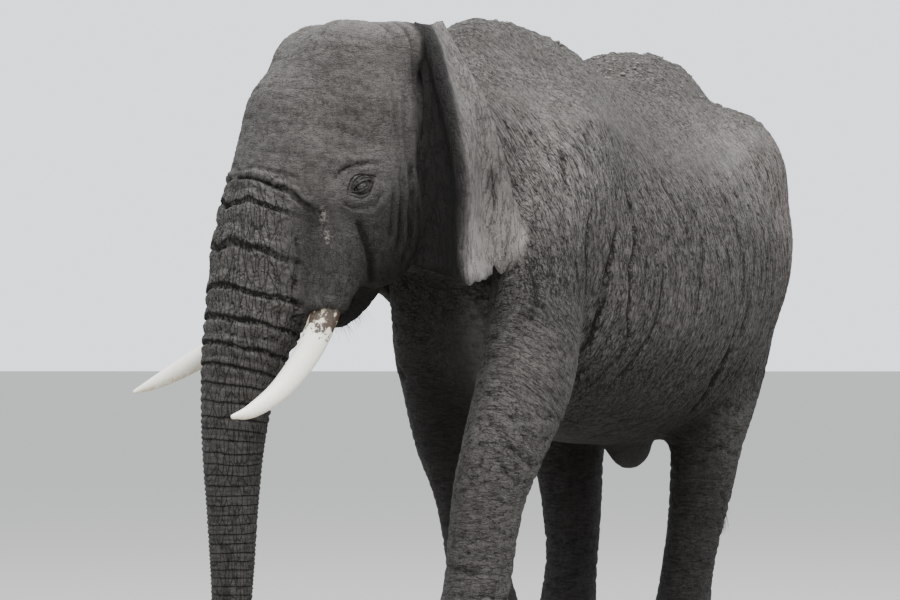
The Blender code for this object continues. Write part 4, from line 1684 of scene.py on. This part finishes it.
@dataclass(frozen=True)
class IvoryFinish:
    """Worn ivory, stained brown where it leaves the lip and ochre along its underside."""

    ivory: Colour = (0.94, 0.9, 0.79, 1)
    ochre: Colour = (0.5, 0.33, 0.16, 1)
    stain: Colour = (0.055, 0.035, 0.025, 1)

    def build(self, shared: Finishes) -> Material:
        """Makes the material from the shared node groups.

        Args:
            shared: the groups.

        Returns:
            The material.
        """
        material, g, shader = new_material("ivory")
        here = g.here()
        root, under = g.stored("root"), g.stored("under")
        patch = g.noise(g.vector("MULTIPLY", here, (60.0, 60.0, 9.0)), 1.0, 5.0, 0.7)
        blot = g.rise(g.plus(g.noise(here, 34.0, 4.0, 0.6), g.times(root, 0.32)), 0.66, 0.74)
        crazing = place_group(g, shared.cracks, Place=here, Stretch=(60, 60, 12), Warp=0.01, Warp_Scale=30.0,
                              Width=0.03)
        colour = self.ivory
        for share, coat in (
            (g.times(under, 0.8, g.rise(patch, 0.3, 0.7)), self.ochre),
            (g.times(g.rise(root, 0.25, 1.0), 0.6), self.ochre),
            (g.times(blot, g.rise(root, 0.02, 0.3)), self.stain),
            (g.times(g.less(1.0, crazing), 0.25), self.ochre),
        ):
            colour = g.mix(share, colour, coat)
        g.feed(shader, {"Base Color": colour, "Roughness": g.rise(patch, 0.2, 0.8, 0.3, 0.48),
                        "Normal": g.bump(g.plus(crazing, patch), 0.25, 0.002),
                        "Subsurface Weight": 0.08, "Subsurface Radius": (0.01, 0.006, 0.003)})
        return material


@dataclass(frozen=True)
class PlainFinish:
    """One colour with a little mottling, for nails, hair and dried mud."""

    name: str
    colour: Colour
    other: Colour
    roughness: float
    scale: float = 40.0

    def build(self) -> Material:
        """Makes the material.

        Returns:
            The material.
        """
        material, g, shader = new_material(self.name)
        mottle = g.noise(g.here(), self.scale, 4.0, 0.6)
        g.feed(shader, {"Base Color": g.mix(g.rise(mottle, 0.35, 0.65), self.colour, self.other),
                        "Roughness": g.rise(mottle, 0.2, 0.8, self.roughness - 0.08, self.roughness + 0.08),
                        "Normal": g.bump(mottle, 0.3, 0.002)})
        return material


@dataclass(frozen=True)
class EyeFinish:
    """Wet eye with a honey-brown iris and a dark rim; bands are laid by the eye's own rings."""

    white: Colour = (0.04, 0.024, 0.018, 1)
    iris: Colour = (0.06, 0.026, 0.009, 1)
    fibre: Colour = (0.022, 0.01, 0.005, 1)
    pupil: Colour = (0.003, 0.002, 0.002, 1)

    def build(self) -> Material:
        """Makes the material.

        Returns:
            The material.
        """
        material, g, shader = new_material("wet_eye")
        ring = g.stored("ring")
        iris = g.mix(g.noise(g.here(), 420.0, 2.0), self.iris, self.fibre)
        colour = g.mix(g.rise(ring, 0.36, 0.42), self.pupil, iris)
        colour = g.mix(g.rise(ring, 0.8, 0.92), colour, self.white)
        rim = g.times(g.rise(ring, 0.7, 0.82), g.rise(ring, 0.98, 0.86), 0.8)
        g.feed(shader, {"Base Color": g.mix(rim, colour, self.pupil), "Roughness": 0.06, "Coat Weight": 1.0,
                        "Coat Roughness": 0.03})
        return material


# ---- pieces
def finish_piece(item: Item, material: Material, slot: str, *nodes: str) -> None:
    """Moves a piece into place, dresses it and lets it ride.

    Args:
        item: the piece, laid out about the animal's middle.
        material: its material.
        slot: name of a material slot, not used.
        nodes: the solids it stands for.
    """
    item.data.transform(Matrix.Translation(CENTRE))
    item.data.materials.clear()
    item.data.materials.append(material)
    select_only(item)
    bpy.ops.object.shade_smooth()
    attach(item, "root")
    if nodes:
        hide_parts(*nodes)
    item.data.calc_loop_triangles()
    LOG.info("%s: %d triangles", item.name, len(item.data.loop_triangles))


def search_tree(items: Sequence[Item], middle: Vector) -> BVHTree:
    """Makes a search tree of several surfaces.

    Args:
        items: the objects.
        middle: the point that the tree is laid out about.

    Returns:
        The tree, whose faces are numbered in order through all objects.
    """
    points, faces = [], []
    for item in items:
        start = len(points)
        points += [Vector(p) for p in get_points(item.data) - np.array(middle)]
        faces += [[start + k for k in p.vertices] for p in item.data.polygons]
    return BVHTree.FromPolygons(points, faces)


@dataclass
class Skin:
    """The whole hide with both ears, in one piece."""

    faces: int = 166_000
    fine_rounds: tuple[float, ...] = (0.095, 0.08, 0.066)
    ridge: tuple[float, float] = (0.34, 0.46)
    streaks: tuple[tuple[Spot, Spot], ...] = (((0.339, -0.106, -0.121), (0.05, 0.012, 0.028)),
                                              ((0.361, -0.104, -0.223), (0.05, 0.008, 0.035)))

    def build(self, material: Material) -> Item:
        """Melts, unites, wrinkles and dresses the skin.

        Args:
            material: the hide.

        Returns:
            The skin.
        """
        skin = Flesh().build()
        LOG.info("flesh: %d faces", len(skin.data.polygons))
        apply_modifier(skin, "SUBSURF", levels=1, render_levels=1)
        ears = [ear.build() for ear in EARS]
        surfaces = search_tree(ears, Vector((0, 0, 0)))
        self._unite(skin, ears)
        self._relax_roots(skin)
        self._split_face(skin)
        places = Places(get_points(skin.data), get_normals(skin.data), surfaces)
        height = Relief(places).total()
        set_points(skin.data, places.points + places.normals * height[:, None])
        self._part_for_tusks(skin)
        self._stand(skin)
        ratio = self.faces / (2 * len(skin.data.polygons))
        apply_modifier(skin, "DECIMATE", ratio=ratio, use_collapse_triangulate=True)
        for spot in (*(eye.centre for eye in EYES), TIP.centre):
            self._refine(skin, Vector(spot))
        points = TIP.shape(get_points(skin.data))
        for eye in EYES:
            points = eye.shape_lids(points)
        set_points(skin.data, points)
        self._store_masks(skin, surfaces)
        nodes = [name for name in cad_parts
                 if not name.startswith(("eye_", "tusk_", "tail_tuft")) and "_nail_" not in name]
        finish_piece(skin, material, "skin", *nodes)
        return skin

    @staticmethod
    def _unite(skin: Item, ears: Sequence[Item]) -> None:
        """Unites the ears with the flesh and cuts the feet flat.

        Args:
            skin: the flesh.
            ears: both ears.
        """
        for ear in ears:
            apply_modifier(skin, "BOOLEAN", object=ear, operation="UNION", solver="MANIFOLD")
            bpy.data.objects.remove(ear, do_unlink=True)
        ground = primitive("ground", bpy.ops.mesh.primitive_cube_add, size=6.0, location=(0, 0, -3.0))
        apply_modifier(skin, "BOOLEAN", object=ground, operation="DIFFERENCE", solver="MANIFOLD")
        bpy.data.objects.remove(ground, do_unlink=True)

    @staticmethod
    def _split_face(skin: Item) -> None:
        """Splits the skin of the face and trunk finer, so that it holds their creases.

        Args:
            skin: the skin.
        """
        local = in_head(get_points(skin.data))
        face = (local[:, 1] < 0.28) & (local[:, 1] > -1.0) & (np.abs(local[:, 0]) < 0.6)
        face &= (local[:, 2] > -0.75) | (local[:, 1] < 0.0)
        with editing(skin.data) as shell:
            edges = [e for e in shell.edges if face[e.verts[0].index] and face[e.verts[1].index]]
            bmesh.ops.subdivide_edges(shell, edges=edges, cuts=1, use_grid_fill=True)
        local = in_head(get_points(skin.data))
        soften(skin, 2, fall(local[:, 1], 0.18, 0.26) * (np.abs(local[:, 0]) < 0.6))

    @staticmethod
    def _relax_roots(skin: Item) -> None:
        """Rounds the seam where the ears grow out of the head.

        Args:
            skin: the skin.
        """
        x, y, z = in_head(get_points(skin.data)).T
        v = np.clip((0.78 - z) / 1.1, 0, 1)
        off = np.hypot(np.abs(x) - 0.29 - 0.1 * np.sin(np.pi * np.minimum(1.1 * v, 1)), y - 0.4 + 0.06 * v)
        soften(skin, 20, fall(off, 0.06, 0.14) * (z > -0.34) * (z < 0.95))

    @staticmethod
    def _part_for_tusks(skin: Item) -> None:
        """Presses the skin in where a tusk passes through it and raises a lip round the tusk.

        Args:
            skin: the skin.
        """
        points, normals = get_points(skin.data), get_normals(skin.data)
        local = in_head(points)
        for tusk in TUSKS:
            path = curve_through(tusk.rows(), 3)
            away, along = off_path(local, path[:, :3])
            radius = np.interp(along, np.linspace(0, 1, len(path)) * along.max(), path[:, 3])
            near = away / radius
            lip = 0.012 * bell(near, 1.25, 0.22) - 0.02 * fall(near, 0.85, 1.12)
            points += normals * (lip * fall(along, 0.1, 0.24))[:, None]
        set_points(skin.data, points)

    @staticmethod
    def _stand(skin: Item) -> None:
        """Keeps the soles flat on the ground.

        Args:
            skin: the skin.
        """
        points = get_points(skin.data)
        points[:, 2] = np.maximum(points[:, 2], 0.0)
        set_points(skin.data, points)

    def _refine(self, skin: Item, middle: Vector) -> None:
        """Splits the skin finer round an eye or the trunk's end.

        Args:
            skin: the skin.
            middle: of the finer part.
        """
        with editing(skin.data) as shell:
            for reach in self.fine_rounds:
                edges = [e for e in shell.edges if all((v.co - middle).length < reach for v in e.verts)]
                bmesh.ops.subdivide_edges(shell, edges=edges, cuts=1, use_grid_fill=True)
                bmesh.ops.triangulate(shell, faces=[f for f in shell.faces if len(f.verts) > 3])
                inside = [v for v in shell.verts if (v.co - middle).length < reach]
                for _ in range(2):
                    bmesh.ops.smooth_vert(shell, verts=inside, factor=0.5, use_axis_x=True, use_axis_y=True,
                                          use_axis_z=True)

    def _store_masks(self, skin: Item, surfaces: BVHTree) -> None:
        """Stores what the hide's material reads.

        Args:
            skin: the skin.
            surfaces: the ears.
        """
        at = Places(get_points(skin.data), get_normals(skin.data), surfaces)
        x, y, z = at.points.T
        hx, hy, hz = at.head_points.T
        head = at.head * (1 - at.trunk)
        # Painted shade: the masks below mark where the hide is darkened for shade that falls on the ear's
        # front, under the jaw and throat, in the nape and groin, on the far side, the lower body and the
        # inner legs.
        ear_front_shade = at.ear * fall(at.ear_u, *self.ridge)
        cheek = head * ramp(-hz, -0.02, 0.16) * (1 - 0.5 * ramp(-hz, 0.3, 0.5) * fall(hy, 0.02, 0.12))
        jowl = head * ramp(-hz, -0.22, 0.1) * ramp(hy, 0.08, 0.24)
        far = fall(x, -0.12, 0.05) * fall(y, -0.25, 0.05) * fall(z, 1.75, 2.15) * at.body
        low = at.body * fall(z, 1.05, 1.75)
        inner = at.legs * ramp(-np.sign(x) * at.normals[:, 0], -0.1, 0.8)
        pink = bell(y, 1.25, 0.3) * bell(z, 2.35, 0.38) * at.flank * ramp(np.abs(x), 0.35, 0.6)
        dusty = bell(y, -1.0, 0.34) * bell(z, 2.45, 0.34) * at.body * ramp(x, 0.1, 0.4)
        dusty += bell(y, 0.75, 0.4) * bell(z, 2.55, 0.3) * at.body * ramp(x, 0.3, 0.6)
        dusty += 1.3 * at.ear * ramp(at.ear_u, *self.ridge) * ramp(at.ear_v, 0.62, 0.95)
        lip = 0.85 * head * ramp(-hz, 0.43, 0.5) * ramp(hy, -0.06, 0.02)
        throat = head * ramp(-hz, 0.1, 0.34) * ramp(hy, 0.1, 0.22)
        nape = np.maximum(at.body, head) * bell(hy, 0.42, 0.3) * ramp(np.abs(hx), 0.1, 0.2) * (hz < 0.55)
        nape *= ramp(-hz, -0.45, 0.1) * fall(-hz, 0.42, 0.75)
        groin = at.body * fall(z, 1.25, 1.7) * bell(y, 0.55, 0.75) * fall(np.abs(x), 0.42, 0.62)
        streaks = np.zeros(len(z))
        for side, (spot, reach) in itertools.product((1, -1), self.streaks):
            streaks += blob(at.head_points, on_side(side, [spot])[0], reach)
        # the wet mask mixes wet mud on the trunk and face with painted shade on the ear's front, lower face,
        # jaw, lower body, belly, inner legs and far side
        masks = {
            "flank": at.flank * (1 - at.back), "legs": at.legs, "back": at.back, "head": head,
            "trunk": at.trunk, "ear": at.ear, "pink": pink, "dusty": dusty,
            # crease: painted shade in folds, lids and nostrils, and the dark about the temple gland
            "crease": self._shade_in_creases(at, head), "cheek": head * ramp(-hz, 0.08, 0.22),
            "damp_and_shade": ((0.05 + 0.6 * ramp(at.along, 0.6, 1.2)) * at.trunk + 0.28 * head + 0.65 * ear_front_shade
                     + 0.7 * cheek + 0.25 * low + 0.4 * inner + 0.5 * at.under + 0.4 * jowl + 0.7 * far),
            # hollow: painted shade in recesses and on the far side
            "hollow": np.maximum.reduce([ear_front_shade, lip, 0.8 * throat, 0.7 * nape, 0.8 * groin, 0.55 * jowl,
                                         0.5 * far]),
            "streaks": streaks,
        }
        for name, values in masks.items():
            set_layer(skin.data, name, np.clip(values, 0, 1))
        set_layer(skin.data, "flow", np.stack([x, y + (at.sag - y) * ramp(z, 1.2, 1.6), at.bent], axis=1))
        set_layer(skin.data, "tube", at.tube)
        set_layer(skin.data, "ring", at.ring)

    @staticmethod
    def _shade_in_creases(at: Places, head: Points) -> Points:
        """Strength of the painted shade in creases, lids and nostrils, and of the dark about the gland of the
        temple.

        Args:
            at: the points and their masks.
            head: share of the head without the trunk.

        Returns:
            0 for open skin to 1 in a crease.
        """
        relief = Relief(at)
        hx, hy, hz = at.head_points.T
        gland = 0.55 * head * (np.abs(hx) > 0.25) * fall(np.hypot(hy + 0.125, hz + 0.115), 0.02, 0.085)
        lids = [eye.shade(at.points) for eye in EYES]
        return np.maximum.reduce([
            # painted shade: the deeper a crease, the darker
            ramp(relief.forms() - relief.total(), 0.003, 0.014) * (1 - 0.35 * at.flank),
            0.8 * at.ear * bell(at.ear_u, 0.835, 0.012) * ramp(at.ear_v, 0.3, 0.55),
            *lids, TIP.nostrils(at.points), gland])


@dataclass
class Tusk:
    """One tusk: down and forward from its socket, levelling out to the tip."""

    side: Side
    lift: float
    around: int = 28

    def rows(self) -> list[tuple[float, ...]]:
        """Place and radius of the tusk's sections in the head's frame.

        Returns:
            Rows of x, y, z and radius.
        """
        up = self.lift
        return on_side(self.side.value, (
            (0.3, -0.045, -0.44, 0.062), (0.31, -0.095, -0.57, 0.063),
            (0.32, -0.185 - 0.6 * up, -0.73 + 0.7 * up, 0.058),
            (0.34, -0.33 - 0.94 * up, -0.885 + 1.36 * up, 0.047),
            (0.37 + 0.35 * up, -0.485 - 0.76 * up, -0.975 + 1.43 * up, 0.031),
            (0.382 + 0.75 * up, -0.585 - 0.65 * up, -1.0 + 1.19 * up, 0.01)))

    def build(self, material: Material) -> Item:
        """Makes the tusk.

        Args:
            material: ivory.

        Returns:
            The tusk.
        """
        name = f"tusk_{self.side.name.lower()}"
        item = Limb(f"{name}_ivory", [(*row, row[-1]) for row in self.rows()], around=self.around, steps=8,
                    domes=(False, True), bulge=0.7).build()
        points, normals = get_points(item.data), get_normals(item.data)
        _, along = off_path(points, curve_through(self.rows(), 4)[:, :3])
        set_layer(item.data, "root", fall(along, 0.1, 0.34))
        set_layer(item.data, "under", ramp(-normals[:, 2] - 0.3 * normals[:, 1], 0.1, 0.9))
        item.data.transform(HEAD)
        finish_piece(item, material, "ivory", name)
        return item


TUSKS = (Tusk(Side.LEFT, 0.0), Tusk(Side.RIGHT, 0.085))


@dataclass
class EyeBall:
    """The ball of an eye."""

    seat: EyeSeat
    iris: float = 0.0165

    def build(self, material: Material) -> Item:
        """Makes the ball, with its poles at the pupil and behind.

        Args:
            material: the wet eye.

        Returns:
            The ball.
        """
        side = self.seat.side.name.lower()
        item = primitive(f"eyeball_{side}", bpy.ops.mesh.primitive_uv_sphere_add, segments=48, ring_count=32,
                         radius=self.seat.radius)
        points = get_points(item.data)
        off_axis = np.where(points[:, 2] > 0, np.hypot(points[:, 0], points[:, 1]), self.seat.radius)
        set_layer(item.data, "ring", off_axis / self.iris)
        set_points(item.data, self.seat.centre + points @ self.seat.axes())
        turn_outward(item.data)
        finish_piece(item, material, "eye", f"eye_{side}")
        return item


@dataclass
class Nails:
    """Toenails of one foot."""

    leg: Leg
    half_size: Spot = (0.046, 0.023, 0.042)

    def build(self, material: Material) -> None:
        """Makes each nail in its place.

        Args:
            material: horn.
        """
        count = 4 if self.leg.fore else 3
        for number in range(1, count + 1):
            node = f"{self.leg.name}_nail_{number}"
            low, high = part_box(node)
            middle = (low + high) / 2 - CENTRE
            out = middle - Vector((self.leg.side.value * self.leg.spread, self.leg.foot, middle.z))
            turn = math.atan2(out.x, -out.y)
            item = primitive(f"{node}_horn", bpy.ops.mesh.primitive_uv_sphere_add, segments=32, ring_count=20,
                             radius=1.0)
            points = get_points(item.data)
            points = np.sign(points) * np.abs(points) ** np.array((0.75, 1.0, 0.8))
            points[:, 1] -= 0.1 * (points[:, 2] < 0) * points[:, 2] ** 2
            set_points(item.data, points * np.array(self.half_size))
            item.data.transform(Matrix.Translation(middle) @ Matrix.Rotation(turn, 4, "Z"))
            finish_piece(item, material, "horn", node)


@dataclass
class Hair:
    """Stiff dark hair, each strand a thin tapering rod."""

    name: str
    sides: int = 3
    steps: int = 5
    strands: list[tuple] = field(default_factory=list)

    def strand(self, root: Vector, way: Vector, length: float, width: float, droop: float,
               bend: Vector) -> None:
        """Adds a strand; width is at its root, droop is a share of its length, bend is at its end."""
        self.strands.append((root, way.normalized(), length, width, droop, bend))

    def build(self, material: Material, *nodes: str) -> Item:
        """Makes all strands in one mesh with the coat's own UV map.

        Args:
            material: hair.
            nodes: the solids it stands for.

        Returns:
            The hair.
        """
        points, faces, places, n = [], [], [], self.sides
        for root, way, length, width, droop, bend in self.strands:
            start, side = len(points), way.orthogonal().normalized()
            other = way.cross(side)
            for step in range(self.steps + 1):
                t = step / self.steps
                middle = root + way * length * t + Vector((0, 0, -droop * length * t * t)) + bend * t * t
                thick = width * (1 - 0.85 * t)
                for k in range(n):
                    turn = 2 * math.pi * k / n
                    points.append(middle + (side * math.cos(turn) + other * math.sin(turn)) * thick)
                    places.append((root, t, k / n))
            for step, k in itertools.product(range(self.steps), range(n)):
                a = start + step * n
                faces.append((a + k, a + (k + 1) % n, a + n + (k + 1) % n, a + n + k))
            faces += [range(start, start + n), range(start + self.steps * n, start + (self.steps + 1) * n)]
        item = mesh_object(self.name, np.array(points), faces)
        layer = item.data.uv_layers.new(name="OFBake")
        for loop in item.data.loops:
            root, t, k = places[loop.vertex_index]
            u = (root.y + 2.3) / 4.6 * 0.49 + (0.5 if root.x < 0 else 0.0)
            layer.data[loop.index].uv = (u + 0.003 * k, root.z / 3.3 + 0.003 * t)
        finish_piece(item, material, "hair", *nodes)
        return item


class Coat:
    """Places every strand of hair."""

    def __init__(self, skin: Item) -> None:
        """Keeps the surface of the finished skin to grow hair on."""
        self.tree = search_tree([skin], CENTRE)
        self.chance = np.random.default_rng(7)

    def tail_tuft(self) -> Hair:
        """Long stiff hair at the end of the tail.

        Returns:
            The strands.
        """
        hair = Hair("tail_hair", steps=6)
        end = Vector((0.118, 1.74, 0.96))
        for _ in range(260):
            drop = self.chance.uniform(-0.16, 0.03)
            turn = self.chance.uniform(0, 2 * math.pi)
            out = Vector((math.cos(turn) * 0.45, math.sin(turn), 0))
            root = end + Vector((0, 0, drop * 0.9)) + out * 0.016
            way = Vector((0, 0, -1)) + out * self.chance.uniform(0.02, 0.22)
            length = min(self.chance.uniform(0.18, 0.34), root.z - 0.6)
            sway = Vector(self.chance.uniform(-0.02, 0.02, 3))
            hair.strand(root, way, length, 0.0013, 0.0, sway)
        return hair

    def chin(self) -> Hair:
        """Sparse bristles under the lower lip.

        Returns:
            The strands.
        """
        hair = Hair("chin_bristles")
        for _ in range(150):
            spot = Vector((self.chance.normal(0, 0.07), self.chance.uniform(-0.1, 0.28), -0.8))
            hit, normal, _, _ = self.tree.ray_cast(HEAD @ spot, Vector((0, 0, 1)), 0.6)
            if hit is None:
                continue
            way = normal + Vector(self.chance.uniform(-0.35, 0.35, 3))
            hair.strand(hit - normal * 0.002, way, self.chance.uniform(0.025, 0.075), 0.0009, 0.25,
                        Vector(self.chance.uniform(-0.008, 0.008, 3)))
        return hair

    def lashes(self, eye: EyeSeat) -> Hair:
        """Long lashes of an upper lid.

        Args:
            eye: the eye they shade.

        Returns:
            The strands.
        """
        hair = Hair(f"lashes_{eye.side.name.lower()}")
        back, up, out = (Vector(axis) for axis in eye.axes())
        for _ in range(46):
            a = self.chance.uniform(-0.85, 0.8) * eye.half_length
            arch = 1 - (a / eye.half_length) ** 2
            height = math.sqrt(max(eye.radius**2 - 0.82 * a**2, 0.0002)) + 0.004
            root = Vector(eye.centre) + back * a + up * (eye.upper * arch**0.8 + 0.001) + out * height
            way = out * 0.9 - up * 0.55 + back * self.chance.uniform(-0.25, 0.35)
            hair.strand(root, way, self.chance.uniform(0.022, 0.045), 0.0007, 0.1, up * -0.004)
        return hair


@dataclass
class MudCrumbs:
    """Dried clods along the back."""

    count: int = 260

    def build(self, tree: BVHTree, material: Material) -> Item:
        """Scatters clods on the back.

        Args:
            tree: surface of the skin, about the animal's middle.
            material: dried mud.

        Returns:
            The clods as one piece.
        """
        chance = np.random.default_rng(19)
        clod = primitive("clod", bpy.ops.mesh.primitive_ico_sphere_add, subdivisions=2, radius=1.0)
        base = get_points(clod.data)
        faces = [tuple(p.vertices) for p in clod.data.polygons]
        bpy.data.objects.remove(clod, do_unlink=True)
        points, all_faces = [], []
        for number in range(self.count):
            y = chance.choice((chance.normal(-0.05, 0.28), chance.normal(0.85, 0.3)))
            x = chance.normal(0.0, 0.1 if y < 0.4 else 0.22)
            hit, normal, _, _ = tree.ray_cast(Vector((x, y, 3.5)), Vector((0, 0, -1)), 1.2)
            if hit is None or normal.z < 0.45:
                continue
            size = chance.uniform(0.004, 0.011) * (1.25 if y < 0.4 else 0.9)
            lump = base * (1 + 0.35 * swell(base + number * 7.3, 0.9, 40))[:, None]
            lump = lump * size * np.array((1.2, 1.0, 0.75)) + np.array(hit) + np.array(normal) * size * 0.25
            start = len(points) * len(base)
            points.append(lump)
            all_faces += [tuple(start + k for k in f) for f in faces]
        item = mesh_object("back_mud", np.vstack(points), all_faces)
        finish_piece(item, material, "skin")
        return item


# ---- studio
@dataclass
class Studio:
    """Pale floor, overcast light and the camera."""

    distance: float = 14.0
    azimuth: float = 26.0
    eye_level: float = 1.5
    lens: float = 111.36
    pan: float = math.radians(2.3243)
    tilt: float = math.radians(1.4403)

    def build(self) -> None:
        """Makes the floor, the lights, the sky and the camera."""
        floor = primitive("floor", bpy.ops.mesh.primitive_plane_add, size=6000.0, location=(0, 0, 0))
        material, g, shader = new_material("floor")
        g.feed(shader, {"Base Color": (0.36, 0.35, 0.32, 1), "Roughness": 0.9})
        floor.data.materials.append(material)
        world = bpy.data.worlds.new("overcast")
        world.use_nodes = True
        sky = world.node_tree.nodes["Background"]
        Graph(world.node_tree).feed(sky, {"Color": (0.88, 0.94, 1.0, 1), "Strength": 1.9})
        bpy.context.scene.world = world
        for name, place, size, power in (("sky_panel", (1.5, -1.0, 9.0), 9.0, 1800.0),
                                         ("front_panel", (5.0, -9.0, 5.0), 6.0, 150.0)):
            light = bpy.data.lights.new(name, "AREA")
            light.size, light.energy = size, power
            self._aim(light, Vector(place), Vector((0, 0, 1.6)) - Vector(place))
        self._camera()

    def _camera(self) -> None:
        """Makes the camera, low and ahead of the animal's left shoulder."""
        turn = math.radians(self.azimuth)
        back = Vector((math.sin(turn), -math.cos(turn), 0))
        ahead = Matrix.Rotation(self.pan, 3, "Z") @ -back + Vector((0, 0, math.tan(self.tilt)))
        data = bpy.data.cameras.new("camera")
        data.lens, data.sensor_width = self.lens, 36.0
        data.clip_start, data.clip_end = 0.1, 5000.0
        place = back * self.distance + CENTRE + Vector((0, 0, self.eye_level))
        bpy.context.scene.camera = self._aim(data, place, ahead)

    @staticmethod
    def _aim(data: bpy.types.ID, place: Vector, ahead: Vector) -> Item:
        """Places a light or camera and points it.

        Args:
            data: the light or camera.
            place: where it stands.
            ahead: where it looks.

        Returns:
            Its object.
        """
        item = bpy.data.objects.new(data.name, data)
        item.location = place
        item.rotation_mode = "QUATERNION"
        item.rotation_quaternion = ahead.to_track_quat("-Z", "Y")
        bpy.context.scene.collection.objects.link(item)
        return item


def main() -> None:
    """Builds every piece in order and reports it."""
    logging.basicConfig(level=logging.INFO, format="%(message)s", stream=sys.stdout)
    Studio().build()
    shared = Finishes(crack_group(), furrow_group(), dirt_group())
    skin = Skin().build(HideFinish().build(shared))
    ivory = IvoryFinish().build(shared)
    for tusk in TUSKS:
        tusk.build(ivory)
    wet = EyeFinish().build()
    for eye in EYES:
        EyeBall(eye).build(wet)
    horn = PlainFinish("horn", (0.105, 0.094, 0.08, 1), (0.06, 0.053, 0.046, 1), 0.6).build()
    for leg in LEGS:
        Nails(leg).build(horn)
    black = PlainFinish("hair", (0.018, 0.016, 0.015, 1), (0.035, 0.03, 0.026, 1), 0.5, 90.0).build()
    coat = Coat(skin)
    coat.tail_tuft().build(black, "tail_tuft")
    coat.chin().build(black)
    for eye in EYES:
        coat.lashes(eye).build(black)
    mud = PlainFinish("dried_mud", (0.16, 0.145, 0.128, 1), (0.09, 0.082, 0.074, 1), 0.92, 60.0).build()
    MudCrumbs().build(coat.tree, mud)


if __name__ == "__main__":
    main()
